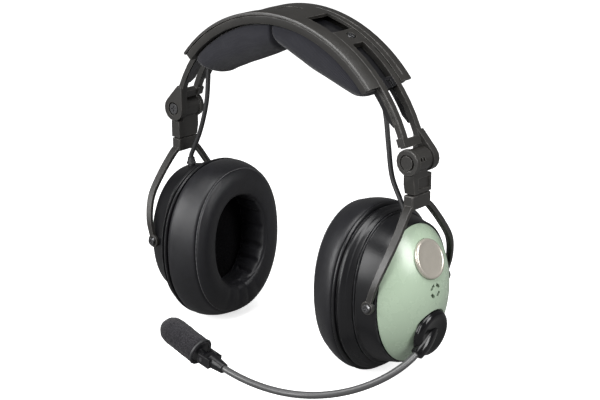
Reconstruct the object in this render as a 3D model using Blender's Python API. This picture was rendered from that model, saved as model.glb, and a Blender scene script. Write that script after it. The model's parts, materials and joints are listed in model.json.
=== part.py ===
"""Aviation headset: a folding headband, two ear cups hung in yokes, and a microphone boom.

The wearer faces -Y and +Z is up, so +X is the wearer's left, where the boom is. Shapes are drawn
in millimetres from a point midway between the ear cups, on the +X side, and turned half a circle
about Z for the other side. finish() brings them to metres, measured from the floor centre: the
middle of the whole headset's footprint, at its lowest point.
"""
import math

import bmesh
import bpy
from mathutils import Matrix, Vector

MM = 0.001
GAP = 0.3                      # running gap between pieces that rest on each other
WELD_DISTANCE = 0.00002        # metres; closes the slivers a Boolean leaves
FLOOR_CENTRE = Vector((1.24, -23.30, -55.80))

# Headband: every band piece is an arc about one line, parallel to Y at this height.
BAND_Z = 60.8
COVER_R = 102.9
COVER_THICKNESS = 2.0
COVER_HALF_WIDTH = 20.3
COVER_HALF_ANGLE = 49.2        # degrees from the top of the band to its square-cut end
CHANNEL_HALF_WIDTH = 9.9       # the channel each slider arm runs in
CHANNEL_START = 11.0
TRAY_HALF_WIDTH = 20.0
TRAY_BOTTOM_R = 95.4
TRAY_FLOOR_R = 97.2
TRAY_WALL = 2.4
FRAME_BOTTOM_R = 97.5
FRAME_TOP_R = 98.2
FRAME_END = 50.3
TONGUE_END = 63.5
TONGUE_BOTTOM_R = 94.9

# Head pads: two lobes under the tray, thickest over the temples, meeting in a notch.
PAD_TOP_R = 95.1
PAD_HALF_WIDTH = 18.3
PAD_END = 48.8
PAD_THIN_ANGLE = 21.0          # where the lobe's edge is lowest
PAD_LOW_R = 78.4
PAD_CURVE = 0.0147             # growth of that radius per square degree
PAD_CROWN = 4.0

# Slider arms
ARM_TOP_R = 102.6
ARM_BOTTOM_R = 98.6
ARM_HALF_WIDTH = 9.6
SLOT_HALF_WIDTH = 5.2
ARM_START = 23.0
SLOT_START = 30.5
SLOT_END = 68.3
ARM_END = 71.3

# Fold hinge, block, yoke and cup pivots
HINGE_X = 98.9
HINGE_Z = 85.1
LUG_R = 8.2
LUG_FRONT = 5.6                # the lug's two faces along Y
LUG_BACK = 10.7
BARREL_R = 7.3
BLOCK_INNER_X = 95.4
BLOCK_OUTER_X = 102.6
BLOCK_HALF_WIDTH = 9.0
BLOCK_BOTTOM_Z = 65.1
SHOULDER_Z = 76.2
YOKE_TOP_Z = 64.3
YOKE_BLOCK_Z = 55.6
PIVOT_X = 92.7
PIVOT_Z = 0.25
PIVOT_FACE_Y = 39.4            # outer face of the yoke's eye
EYE_R = 4.2

# Ear cup: every section across X is a rounded oval
OVAL_POWER = 2.15
SEAM_X = 51.2
CUSHION_HALF = (39.75, 50.0)
HOLE_HALF = (23.0, 32.0)
CUSHION_BACK_X = 70.9
FLANGE_OPENING = (34.4, 43.9)
FLANGE_X = 71.6
FLANGE_STEP_X = 76.5             # the step inside the flange that stops the shell
FLANGE_BACK_X = 81.4
SHELL_X = 77.0
SHELL_HALF = (39.0, 48.2)        # the shell's lip, inside the flange's collar
SHELL_BACK_X = 96.5
SHELL_WALL = 2.2
DOME_X = 96.9
DOME_HALF = (34.7, 43.9)
DOME_HEIGHT = 17.7
DOME_POWER = 0.85
DOME_WALL = 2.4
BADGE_Z = 25.0
BADGE_R = 12.5
VENT_Z = 5.4
VENT_R = 3.3

# Boom and microphone
KNOB_POINT = Vector((109.3, 0.0, -22.3))
KNOB_TILT = 8.6                # degrees the knob's axis points below +X
KNOB_R = 15.0
SOCKET_HEIGHT = 3.7
BOOM_R = 2.2
BOOM_DIP = 32.5                # degrees the boom leaves below the forward direction
BOOM_END = Vector((12.6, -85.0, -44.1))
BOOM_END_RISE = 13.8           # degrees the boom climbs as it reaches the microphone
MIC_RISE = 19.2
BOOM_GAP = 1.2
MIC_PIN = 10.0                 # from the boom's end to the microphone's tilt pin
MUFF_R = 8.65
MUFF_LENGTH = 32.1

CABLE_R = 1.3
CABLE_Y = -2.5
GROMMET_X = 91.3

SHELL_SEGMENTS = 32
ROUND_SEGMENTS = 12

UP = Vector((0.0, 0.0, 1.0))
FORE_AFT = Vector((0.0, 1.0, 0.0))
OUTWARD = Vector((1.0, 0.0, 0.0))


# ---------------------------------------------------------------- materials

def material(name, colour, roughness, metallic=0.0):
    made = bpy.data.materials.new(name)
    made.use_nodes = True
    shader = made.node_tree.nodes["Principled BSDF"]
    shader.inputs["Base Color"].default_value = (*colour, 1.0)
    shader.inputs["Roughness"].default_value = roughness
    shader.inputs["Metallic"].default_value = metallic
    return made


def clear_scene():
    for item in list(bpy.data.objects):
        bpy.data.objects.remove(item, do_unlink=True)


clear_scene()
SATIN = material("satin_grey_plastic", (0.045, 0.042, 0.037), 0.42)
BLACK = material("black_plastic", (0.018, 0.018, 0.019), 0.4)
GLOSS = material("gloss_black_plastic", (0.01, 0.01, 0.011), 0.12)
GREEN = material("sage_green_plastic", (0.36, 0.5, 0.36), 0.28)
LEATHER = material("black_leather", (0.02, 0.02, 0.022), 0.45)
FABRIC = material("pad_fabric", (0.045, 0.045, 0.055), 0.95)
FOAM = material("black_foam", (0.02, 0.019, 0.022), 1.0)
STEEL = material("spring_steel", (0.3, 0.3, 0.3), 0.35, 1.0)
SCREW = material("dark_screw_steel", (0.2, 0.2, 0.2), 0.35, 1.0)
SILVER = material("badge_silver", (0.75, 0.7, 0.67), 0.25, 1.0)
RUBBER = material("cable_rubber", (0.03, 0.03, 0.031), 0.6)
BOARD = material("circuit_board", (0.02, 0.12, 0.05), 0.5)


# ---------------------------------------------------------------- bodies

def axis_empty(name, point, parent=None):
    """An empty on a joint's axis, which the pieces of that body are parented to."""
    made = bpy.data.objects.new(name, None)
    made.empty_display_size = 0.01
    bpy.context.collection.objects.link(made)
    world = (Vector(point) - FLOOR_CENTRE) * MM
    made["world"] = tuple(world)
    made.parent = parent
    made.location = world - Vector(parent["world"]) if parent else world
    return made


def turned_about(point, side):
    return Vector((point[0] * side, point[1] * side, point[2]))


def finish(name, shape, finish_material, body, side=1, smooth=35.0):
    """Turn a shape drawn on the +X side to its side, and make it an object of its body."""
    if side < 0:
        bmesh.ops.rotate(shape, cent=(0, 0, 0), matrix=Matrix.Rotation(math.pi, 3, "Z"),
                         verts=shape.verts)
    bmesh.ops.translate(shape, vec=-FLOOR_CENTRE, verts=shape.verts)
    bmesh.ops.scale(shape, vec=(MM, MM, MM), verts=shape.verts)
    bmesh.ops.translate(shape, vec=-Vector(body["world"]), verts=shape.verts)
    bmesh.ops.recalc_face_normals(shape, faces=shape.faces)
    mesh = bpy.data.meshes.new(name)
    shape.to_mesh(mesh)
    shape.free()
    mesh.shade_smooth()
    mesh.set_sharp_from_angle(angle=math.radians(smooth))
    if finish_material:
        mesh.materials.append(finish_material)
    made = bpy.data.objects.new(name, mesh)
    bpy.context.collection.objects.link(made)
    made.parent = body
    return made


def gathered(shapes):
    """Several shapes that don't touch, as one."""
    whole = shapes[0]
    for shape in shapes[1:]:
        copies = {vert: whole.verts.new(vert.co) for vert in shape.verts}
        for face in shape.faces:
            whole.faces.new([copies[vert] for vert in face.verts])
        shape.free()
    return whole


def boolean(target, operation, groups, body, side=1):
    """Cut shapes from an object, or join them to it, with one hidden helper for each group."""
    for index, group in enumerate(groups, len(target.modifiers)):
        helper = finish(f"{target.name}_{operation.lower()}_{index}", gathered(group),
                        target.data.materials[0], body, side)
        helper.hide_render = True
        helper.display_type = "WIRE"
        step = target.modifiers.new(f"{operation.title()} {index}", "BOOLEAN")
        step.operation = operation
        step.solver = "EXACT"
        step.object = helper
        helper.hide_set(True)
        weld = target.modifiers.new(f"Weld {index}", "WELD")
        weld.merge_threshold = WELD_DISTANCE
        target.modifiers.new(f"Triangulate {index}", "TRIANGULATE")


def cut(target, groups, body, side=1):
    boolean(target, "DIFFERENCE", groups, body, side)


def join(target, groups, body, side=1):
    boolean(target, "UNION", groups, body, side)


# ---------------------------------------------------------------- shapes

def loft(rings, closed=False):
    """A skin over rings of points. One-point rings are poles; closed joins last to first."""
    shape = bmesh.new()
    rows = [[shape.verts.new(point) for point in ring] for ring in rings]
    pairs = list(zip(rows, rows[1:]))
    if closed:
        pairs.append((rows[-1], rows[0]))
    for first, second in pairs:
        count = max(len(first), len(second))
        for i in range(count):
            j = (i + 1) % count
            if len(first) == 1:
                shape.faces.new((first[0], second[j], second[i]))
            elif len(second) == 1:
                shape.faces.new((first[i], first[j], second[0]))
            else:
                shape.faces.new((first[i], first[j], second[j], second[i]))
    if not closed:
        for row in (rows[0], rows[-1]):
            if len(row) > 2:
                shape.faces.new(row)
    return shape


def box(low, high):
    rings = []
    for x in (low[0], high[0]):
        rings.append([(x, low[1], low[2]), (x, high[1], low[2]),
                      (x, high[1], high[2]), (x, low[1], high[2])])
    return loft(rings)


def hull(points):
    shape = bmesh.new()
    for point in points:
        shape.verts.new(point)
    bmesh.ops.convex_hull(shape, input=shape.verts)
    return shape


def across(axis):
    """Two unit vectors square to an axis and to each other."""
    axis = Vector(axis).normalized()
    start = OUTWARD if abs(axis.x) < 0.9 else FORE_AFT
    first = (start - axis * start.dot(axis)).normalized()
    return first, axis.cross(first)


def turned(profile, origin, axis, segments=ROUND_SEGMENTS, closed=False):
    """A lathe shape: the profile is (radius, height) pairs along an axis."""
    axis = Vector(axis).normalized()
    first, second = across(axis)
    rings = []
    for radius, height in profile:
        centre = Vector(origin) + axis * height
        if radius == 0:
            rings.append([centre])
            continue
        turns = [2 * math.pi * i / segments for i in range(segments)]
        rings.append([centre + (first * math.cos(t) + second * math.sin(t)) * radius
                      for t in turns])
    return loft(rings, closed)


def rod(radius, start, end, origin=(0, 0, 0), axis=FORE_AFT, segments=ROUND_SEGMENTS):
    return turned([(0, start), (radius, start), (radius, end), (0, end)], origin, axis, segments)


def band_point(radius, across_y, angle):
    turn = math.radians(angle)
    return Vector((radius * math.sin(turn), across_y, BAND_Z + radius * math.cos(turn)))


def arc(section, start, end, step=3.0):
    """Sweep a section of (y, radius) points along the band from one angle to another."""
    count = max(1, round(abs(end - start) / step))
    rings = []
    for i in range(count + 1):
        angle = start + (end - start) * i / count
        points = section(angle) if callable(section) else section
        rings.append([band_point(radius, y, angle) for y, radius in points])
    return loft(rings)


def arc_block(y_low, y_high, r_low, r_high, start, end, step=3.0):
    section = [(y_low, r_low), (y_high, r_low), (y_high, r_high), (y_low, r_high)]
    return arc(section, start, end, step)


def oval(x, half, segments=SHELL_SEGMENTS, power=OVAL_POWER, rise=0.0):
    ring = []
    for i in range(segments):
        turn = 2 * math.pi * i / segments
        c, s = math.cos(turn), math.sin(turn)
        y = half[0] * math.copysign(abs(c) ** (2 / power), c)
        z = half[1] * math.copysign(abs(s) ** (2 / power), s)
        ring.append((x, y, z + rise))
    return ring


def inset(half, amount):
    return half[0] - amount, half[1] - amount


def blend(first, second, share):
    return tuple(a + (b - a) * share for a, b in zip(first, second))


def curve_points(controls, steps):
    """A Catmull-Rom curve through its control points."""
    points = [Vector(p) for p in controls]
    padded = [points[0] * 2 - points[1]] + points + [points[-1] * 2 - points[-2]]
    result = []
    for i in range(len(points) - 1):
        p0, p1, p2, p3 = padded[i:i + 4]
        for k in range(steps):
            t = k / steps
            bend = (p0 * 2 - p1 * 5 + p2 * 4 - p3) * t * t + (p1 * 3 - p0 - p2 * 3 + p3) * t ** 3
            result.append((p1 * 2 + (p2 - p0) * t + bend) / 2)
    result.append(points[-1])
    return result


def tube(path, radius, segments=12):
    """A round tube along a path, its sections carried along without twist."""
    points = [Vector(p) for p in path]
    rings = []
    side_way = None
    for i, point in enumerate(points):
        ahead = points[min(i + 1, len(points) - 1)]
        behind = points[max(i - 1, 0)]
        along = (ahead - behind).normalized()
        if side_way is None:
            side_way = across(along)[0]
        side_way = (side_way - along * side_way.dot(along)).normalized()
        other = along.cross(side_way)
        turns = [2 * math.pi * k / segments for k in range(segments)]
        rings.append([point + (side_way * math.cos(t) + other * math.sin(t)) * radius
                      for t in turns])
    return loft(rings)


def outline_hull(points, y_low, y_high):
    """A convex plate, square to Y, around (x, z) points."""
    return hull([(x, y, z) for x, z in points for y in (y_low, y_high)])


def circle_xz(x, z, radius, segments=16):
    turns = [2 * math.pi * i / segments for i in range(segments)]
    return [(x + radius * math.cos(t), z + radius * math.sin(t)) for t in turns]


# ---------------------------------------------------------------- headband

def make_cover(body):
    top, bottom = COVER_R, COVER_R - COVER_THICKNESS
    half = COVER_HALF_WIDTH
    section = [(-half, bottom), (half, bottom), (half, top - 0.5), (half - 0.6, top),
               (-half + 0.6, top), (-half, top - 0.5)]
    cover = finish("band_cover", arc(section, -COVER_HALF_ANGLE, COVER_HALF_ANGLE, 4.9),
                   SATIN, body)
    above, below = top + 3, bottom - 3
    channels = [arc_block(-CHANNEL_HALF_WIDTH, CHANNEL_HALF_WIDTH, below, above,
                          end * CHANNEL_START, end * (COVER_HALF_ANGLE + 2), 4.9)
                for end in (1, -1)]
    crease = arc_block(13.6, 14.4, top - 0.6, above, 4, COVER_HALF_ANGLE - 3, 4.9)
    # an L-shaped slot near the top frees a small snap tab
    snap_side = arc_block(3.0, 4.6, below, above, -4.9, 2.0)
    snap_end = arc_block(-4.6, 4.1, below, above, -5.4, -4.1)
    cut(cover, [channels + [crease, snap_side], [snap_end]], body)
    return cover


def make_tray(body):
    half, bottom, floor = TRAY_HALF_WIDTH, TRAY_BOTTOM_R, TRAY_FLOOR_R
    rim = COVER_R - COVER_THICKNESS - GAP
    inner = half - TRAY_WALL
    section = [(-half, bottom + 0.8), (-half + 0.8, bottom), (half - 0.8, bottom),
               (half, bottom + 0.8), (half, rim), (inner, rim), (inner, floor),
               (-inner, floor), (-inner, rim), (-half, rim)]
    end = COVER_HALF_ANGLE - 0.6
    return finish("band_tray", arc(section, -end, end, 4.9), SATIN, body)


def make_frame(body):
    """The sprung steel band, with two guide tongues at each end."""
    strip = arc_block(-9.4, 9.4, FRAME_BOTTOM_R, FRAME_TOP_R, -FRAME_END, FRAME_END, 4.9)
    frame = finish("band_frame", strip, BLACK, body)

    def tongue(y_low, y_high, end):
        def section(angle):
            past = max(0.0, abs(angle) - (TONGUE_END - 3.0)) / 3.0
            low = TONGUE_BOTTOM_R + 2.4 * past ** 2
            return [(y_low, low), (y_high, low), (y_high, FRAME_TOP_R), (y_low, FRAME_TOP_R)]
        return arc(section, end * (FRAME_END - 1.0), end * TONGUE_END, 3.5)

    tongues = [tongue(side * 5.4, side * 9.0, end) for side in (1, -1) for end in (1, -1)]
    join(frame, [tongues], body)
    return frame


def make_pad(name, end, body):
    """One lobe of the head pad: a crowned block whose thickness follows the band angle."""
    def section(angle):
        turn = abs(angle)
        edge = PAD_LOW_R + PAD_CURVE * (turn - PAD_THIN_ANGLE) ** 2
        past = max(0.0, turn - (PAD_END - 5.0)) / 5.0
        edge += (PAD_TOP_R - 3.2 - edge) * past ** 3
        fullness = 1 - 0.7 * past ** 2
        half = PAD_HALF_WIDTH - 2.0 * past ** 2
        points = [(-half + 1.2, PAD_TOP_R), (-half, PAD_TOP_R - 1.5)]
        count = 6
        for i in range(count + 1):
            share = -1 + 2 * i / count
            shape = 3.0 * abs(share) ** 5 - PAD_CROWN * (1 - share * share)
            points.append((half * share, edge + fullness * shape))
        points += [(half, PAD_TOP_R - 1.5), (half - 1.2, PAD_TOP_R)]
        return points

    return finish(name, arc(section, end * 0.5, end * PAD_END, 4.8), FABRIC, body, smooth=60)


def make_guide_clip(name, side, body):
    """The saddle between the two rails that keeps them apart at the band's end."""
    clip = finish(name, arc_block(-4.8, 4.8, ARM_BOTTOM_R, COVER_R - 0.4, 46.4, 50.1, 1.9),
                  BLACK, body, side)
    cut(clip, [[arc_block(-2.2, 2.2, ARM_TOP_R - 1.4, COVER_R + 2, 47.4, 52.0)]], body, side)
    return clip


# ---------------------------------------------------------------- slider arm

def make_arm(name, side, body):
    section = [(-ARM_HALF_WIDTH, ARM_BOTTOM_R), (ARM_HALF_WIDTH, ARM_BOTTOM_R),
               (ARM_HALF_WIDTH, ARM_TOP_R - 0.4), (ARM_HALF_WIDTH - 0.4, ARM_TOP_R),
               (-ARM_HALF_WIDTH + 0.4, ARM_TOP_R), (-ARM_HALF_WIDTH, ARM_TOP_R - 0.4)]
    arm = finish(name, arc(section, ARM_START, ARM_END, 4.9), SATIN, body, side)
    # the plain rail ends in a deeper square-cut plate; the other runs into the lug
    plate = arc_block(-ARM_HALF_WIDTH - 0.5, -SLOT_HALF_WIDTH - 0.4, ARM_BOTTOM_R - 1.3,
                      ARM_TOP_R + 0.2, 67.6, ARM_END - 0.6, 4.9)
    shoulder = [(band_point(r, 0, a).x, band_point(r, 0, a).z)
                for r in (ARM_BOTTOM_R + 0.4, ARM_TOP_R + 0.2) for a in (ARM_END - 4.7, ARM_END - 0.3)]
    lug = outline_hull(circle_xz(HINGE_X, HINGE_Z, LUG_R) + shoulder, LUG_FRONT, LUG_BACK)
    join(arm, [[plate, lug]], body, side)
    slot = arc_block(-SLOT_HALF_WIDTH, SLOT_HALF_WIDTH, ARM_BOTTOM_R - 4, ARM_TOP_R + 4,
                     SLOT_START, SLOT_END, 4.9)
    groove = arc_block(-ARM_HALF_WIDTH - 3, -ARM_HALF_WIDTH + 0.5, ARM_BOTTOM_R + 1.2,
                       ARM_TOP_R - 1.5, 33.0, 62.5, 4.9)
    hinge = (HINGE_X, 0, HINGE_Z)
    step = LUG_BACK - 1.6
    bore = turned([(0, LUG_FRONT - 1), (2.3, LUG_FRONT - 1), (2.3, step), (4.7, step),
                   (4.7, LUG_BACK + 1), (0, LUG_BACK + 1)], hinge, FORE_AFT)
    screw_seat = band_point(0, 0, 26.3) + Vector((0, 1.8, 0))
    outward = band_point(1, 0, 26.3) - band_point(0, 0, 26.3)
    low, step, high = ARM_BOTTOM_R - 2, ARM_TOP_R - 1.2, ARM_TOP_R + 2
    screw_hole = turned([(0, low), (1.5, low), (1.5, step), (3.3, step), (3.3, high), (0, high)],
                        screw_seat, outward)
    cut(arm, [[slot, groove, bore, screw_hole]], body, side)
    return arm


def make_stop_screw(name, side, body):
    """The screw through the arm's inner plate that stops it at the guide clip."""
    seat = band_point(0, 0, 26.3) + Vector((0, 1.8, 0))
    outward = band_point(1, 0, 26.3) - band_point(0, 0, 26.3)
    head, top = ARM_TOP_R - 0.9, ARM_TOP_R + 0.1
    profile = [(0, ARM_BOTTOM_R), (1.2, ARM_BOTTOM_R), (1.2, head), (2.8, head), (2.5, top),
               (0, top)]
    screw = finish(name, turned(profile, seat, outward), SCREW, body, side)
    centre = seat + outward * top
    along = (band_point(1, 0, 27.3) - band_point(1, 0, 26.3)).normalized()
    slots = []
    for one, other in ((along, FORE_AFT), (FORE_AFT, along)):
        corners = [centre + one * a + other * b + outward * c
                   for a in (-1.6, 1.6) for b in (-0.35, 0.35) for c in (-0.5, 0.5)]
        slots.append([hull(corners)])
    cut(screw, slots, body, side)
    return screw


# ---------------------------------------------------------------- fold hinge and swivel

HINGE = Vector((HINGE_X, 0, HINGE_Z))


def make_hinge_pin(name, side, body):
    """A headed pin, drilled at its far end for the hinge screw."""
    profile = [(0, -10.9), (4.3, -10.9), (4.5, -9.8), (2.1, -9.8), (2.1, 8.6), (1.1, 8.6),
               (1.1, 5.0), (0, 5.0)]
    return finish(name, turned(profile, HINGE, FORE_AFT), SATIN, body, side)


def make_hinge_screw(name, side, body):
    low = LUG_BACK - 1.3
    profile = [(0, 5.6), (0.85, 5.6), (0.85, low), (4.0, low), (3.6, low + 1.1), (0, low + 1.1)]
    screw = finish(name, turned(profile, HINGE, FORE_AFT), SCREW, body, side)
    top = low + 1.1
    x, z = HINGE_X, HINGE_Z
    cut(screw, [[box((x - 2.0, top - 0.7, z - 0.4), (x + 2.0, top + 1, z + 0.4))],
                [box((x - 0.4, top - 0.7, z - 2.0), (x + 0.4, top + 1, z + 2.0))]], body, side)
    return screw


def make_block(name, side, body):
    """The barrel that turns on the hinge pin, and the block it carries."""
    low = (BLOCK_INNER_X, -BLOCK_HALF_WIDTH, BLOCK_BOTTOM_Z)
    block = finish(name, box(low, (BLOCK_OUTER_X, BLOCK_HALF_WIDTH, SHOULDER_Z)),
                   SATIN, body, side)
    neck = box((BLOCK_INNER_X, -BLOCK_HALF_WIDTH, SHOULDER_Z - 2), (BLOCK_OUTER_X, 5.1, 82.0))
    barrel = turned([(0, -10.6), (LUG_R - 0.4, -10.6), (LUG_R, -10.2), (LUG_R, -7.6),
                     (BARREL_R, -7.4), (BARREL_R, 5.2), (0, 5.2)], HINGE, FORE_AFT, 16)
    join(block, [[neck], [barrel]], body, side)
    pin_bore = turned([(0, -12), (5.4, -12), (5.4, -9.5), (2.2, -9.5), (2.2, 7), (0, 7)],
                      HINGE, FORE_AFT)
    post_bore = rod(2.2, BLOCK_BOTTOM_Z - 1, 74.5, (HINGE_X, 0, 0), UP)
    panel = box((BLOCK_OUTER_X - 0.9, -3.6, 67.6), (BLOCK_OUTER_X + 1, 7.4, 74.4))
    face = -BLOCK_HALF_WIDTH
    x_in, x_out = BLOCK_INNER_X - 0.5, BLOCK_OUTER_X + 0.5
    wedge = hull([(x_in, face - 1, 70.5), (x_in, face, 70.5), (x_out, face - 1, 78.0),
                  (x_out, face, 78.0), (x_in, face - 1, 64.5), (x_in, face + 1.4, 64.5),
                  (x_out, face - 1, 64.5), (x_out, face + 2.4, 64.5)])
    notches = [box((HINGE_X + 5.9, y - 0.8, HINGE_Z + 1.0), (HINGE_X + 8.5, y + 0.8, HINGE_Z + 3.2))
               for y in (-5.4, -2.6)]
    cut(block, [[pin_bore, post_bore, panel, wedge] + notches], body, side)
    return block


def make_swivel_screw(name, side, body):
    """The shouldered screw the yoke hangs on and turns about."""
    head = YOKE_BLOCK_Z + 0.5
    profile = [(0, head), (2.5, head), (2.8, head + 0.3), (2.8, head + 1.9), (1.9, head + 1.9),
               (1.9, 73.9), (0, 73.9)]
    return finish(name, turned(profile, (HINGE_X, 0, 0), UP), SCREW, body, side)


def make_yoke(name, side, body):
    """A block under the swivel, with two thin arms sweeping down to the cup's pivots."""
    low = (BLOCK_INNER_X + 0.1, -BLOCK_HALF_WIDTH, YOKE_BLOCK_Z)
    high = (BLOCK_OUTER_X - 0.1, BLOCK_HALF_WIDTH, YOKE_TOP_Z)
    yoke = finish(name, box(low, high), SATIN, body, side)
    eye_y = PIVOT_FACE_Y - 1.1
    down = curve_points([(99.2, 5.0, 58.6), (99.8, 11.0, 54.6), (101.0, 22.0, 41.5),
                         (100.4, 31.6, 28.5), (97.0, 37.2, 14.5), (93.2, eye_y, 2.9)], 2)
    arms, eyes, bores = [], [], []
    for end in (1, -1):
        rings = []
        for i, point in enumerate(down):
            ahead, behind = down[min(i + 1, len(down) - 1)], down[max(i - 1, 0)]
            along = ahead - behind
            normal = Vector((0, -along.z, along.y)).normalized()
            share = i / (len(down) - 1)
            half_x, half_t = 2.9 - 0.8 * share, 1.5 - 0.35 * share
            ring = [point + OUTWARD * half_x * a + normal * half_t * b
                    for a, b in ((1, 0), (0.8, 1), (-0.8, 1), (-1, 0), (-0.8, -1), (0.8, -1))]
            rings.append([(p.x, p.y * end, p.z) for p in ring])
        y_ends = sorted((end * (PIVOT_FACE_Y - 2.2), end * PIVOT_FACE_Y))
        pivot = (PIVOT_X, 0, PIVOT_Z)
        arms.append(loft(rings))
        eyes.append(rod(EYE_R, y_ends[0], y_ends[1], pivot))
        bores.append(rod(1.65, y_ends[0] - 1, y_ends[1] + 1, pivot))
    join(yoke, [arms, eyes], body, side)
    floor, step, top = YOKE_BLOCK_Z - 4, YOKE_BLOCK_Z + 2.7, YOKE_TOP_Z + 1
    well = [(0, floor), (3.1, floor), (3.1, step), (2.2, step), (2.2, top), (0, top)]
    cut(yoke, [bores + [turned(well, (HINGE_X, 0, 0), UP)]], body, side)
    return yoke


def make_pivot_screw(name, end, side, body):
    """The screw the cup tilts on, through the yoke's eye into the shell's boss."""
    face = PIVOT_FACE_Y + GAP
    profile = [(0, 34.2), (1.45, 34.2), (1.45, face), (2.9, face), (2.5, face + 1.2),
               (0, face + 1.2)]
    origin, axis = (PIVOT_X, 0, PIVOT_Z), (0, end, 0)
    screw = finish(name, turned(profile, origin, axis), SCREW, body, side)
    top = end * (face + 1.2)
    x, z = PIVOT_X, PIVOT_Z
    y_low, y_high = sorted((top - end * 0.6, top + end))
    cut(screw, [[box((x - 1.6, y_low, z - 0.35), (x + 1.6, y_high, z + 0.35))],
                [box((x - 0.35, y_low, z - 1.6), (x + 0.35, y_high, z + 1.6))]], body, side)
    return screw


# ---------------------------------------------------------------- ear cup

def oval_loft(stations, closed=False, segments=SHELL_SEGMENTS):
    return loft([oval(x, half, segments) for x, half in stations], closed)


def make_ear_cushion(name, side, body):
    """A padded ring: the outer seam, the crowned face, the ear hole and the flared wall."""
    segments = 28
    profile = [(SEAM_X, 0.0), (48.4, 0.2), (47.0, 0.45), (47.3, 0.75), (49.2, 1.0),
               (55.0, 1.06), (64.0, 1.04), (CUSHION_BACK_X, 0.9)]
    wall = [(CUSHION_BACK_X, (46.2, 53.3), -1.5), (67.0, (47.3, 54.3), -1.5),
            (61.0, (45.4, 53.5), -1.0), (55.0, (42.4, 51.5), -0.4)]
    rings = [oval(x, blend(CUSHION_HALF, HOLE_HALF, share), segments) for x, share in profile]
    rings += [oval(x, half, segments, rise=rise) for x, half, rise in wall]
    return finish(name, loft(rings, True), LEATHER, body, side, smooth=70)


def make_cushion_plate(name, side, body):
    """The flange the cushion clips to: a rim, a groove, and a shoulder down to the shell."""
    rim = [(FLANGE_X, (46.6, 53.2), -1.5), (72.4, (47.6, 54.1), -1.5),
           (73.6, (47.3, 53.7), -1.5), (74.0, (46.2, 52.6), -1.4), (75.4, (46.0, 52.3), -1.3),
           (75.9, (46.3, 52.1), -1.2), (77.9, (45.6, 51.2), -1.0), (FLANGE_BACK_X, (40.2, 49.2), 0)]
    collar = inset(SHELL_HALF, -0.4)
    rings = [oval(FLANGE_X, FLANGE_OPENING)]
    rings += [oval(x, half, rise=rise) for x, half, rise in rim]
    rings += [oval(FLANGE_BACK_X, collar), oval(FLANGE_STEP_X, collar),
              oval(FLANGE_STEP_X, FLANGE_OPENING)]
    return finish(name, loft(rings, True), BLACK, body, side)


def make_ear_scrim(name, side, body):
    """The acoustic foam seen at the bottom of the ear hole."""
    half = inset(FLANGE_OPENING, 0.5)
    stations = [(73.0, inset(half, 1.0)), (73.6, half), (76.0, half)]
    return finish(name, oval_loft(stations, segments=32), FOAM, body, side)


def make_baffle(name, side, body):
    half = (35.6, 44.6)
    baffle = finish(name, oval_loft([(78.0, half), (79.6, half)], segments=32),
                    BLACK, body, side)
    cut(baffle, [[rod(17.2, 75, 83, axis=OUTWARD, segments=16)]], body, side)
    return baffle


def make_speaker(name, side, body):
    """The driver: its frame, cone recess, basket and magnet."""
    profile = [(0, 82.6), (6, 83.2), (16.6, 79.9), (20, 79.9), (20, 81.6), (17, 82.0),
               (12.5, 87.3), (12.5, 92.6), (0, 92.6)]
    return finish(name, turned(profile, (0, 0, 0), OUTWARD, 16), STEEL, body, side)


def make_damping_foam(name, side, body):
    return finish(name, oval_loft([(93.6, (27, 37)), (96.2, (27, 37))], segments=28),
                  FOAM, body, side)


def make_circuit_board(name, side, body):
    return finish(name, box((98.9, -13, 8), (100.1, 13, 30)), BOARD, body, side)


def make_cup_shell(name, side, body):
    """The cup's middle wall, open at both ends, with bosses for the yoke's pivots."""
    outer = [(SHELL_X, SHELL_HALF), (82.2, SHELL_HALF), (83.0, (38.2, 47.3)),
             (95.8, (35.9, 44.7)), (SHELL_BACK_X, (35.4, 44.4))]
    inner = [(x, inset(half, SHELL_WALL)) for x, half in reversed(outer[::2])]
    shell = finish(name, oval_loft(outer + inner, True), BLACK, body, side)
    pivot = (PIVOT_X, 0, PIVOT_Z)
    bosses = [rod(3.7, 33.0, 36.9, pivot, (0, end, 0)) for end in (1, -1)]
    join(shell, [bosses], body, side)
    cable_y = CABLE_Y * side
    holes = [rod(1.6, 32, 40, pivot, (0, end, 0)) for end in (1, -1)]
    holes.append(rod(2.7, 38, 50, (GROMMET_X, cable_y, 0), UP))
    cut(shell, [holes], body, side)
    return shell


def make_grommet(name, side, body):
    """The strain relief where the cable enters the cup."""
    profile = [(1.7, 42.0), (2.4, 42.0), (2.4, 46.8), (3.3, 46.8), (3.3, 47.7), (2.8, 48.0),
               (2.4, 51.0), (1.7, 51.0)]
    shape = turned(profile, (GROMMET_X, CABLE_Y * side, 0), UP, closed=True)
    return finish(name, shape, RUBBER, body, side)


def dome_x(y, z, wall=0.0):
    """How far out the dome's surface stands over a point of the cup."""
    half = inset(DOME_HALF, wall)
    reach = abs(y / half[0]) ** 2 + abs(z / half[1]) ** 2
    return DOME_X + (DOME_HEIGHT - wall) * max(0.0, 1 - reach) ** DOME_POWER


def dome_normal(z):
    slope = (dome_x(0, z + 0.5) - dome_x(0, z - 0.5))
    return Vector((1, 0, -slope)).normalized()


BADGE_POINT = Vector((dome_x(0, BADGE_Z), 0, BADGE_Z))
BADGE_AXIS = dome_normal(BADGE_Z)
KNOB_AXIS = Vector((math.cos(math.radians(KNOB_TILT)), 0, -math.sin(math.radians(KNOB_TILT))))


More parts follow.
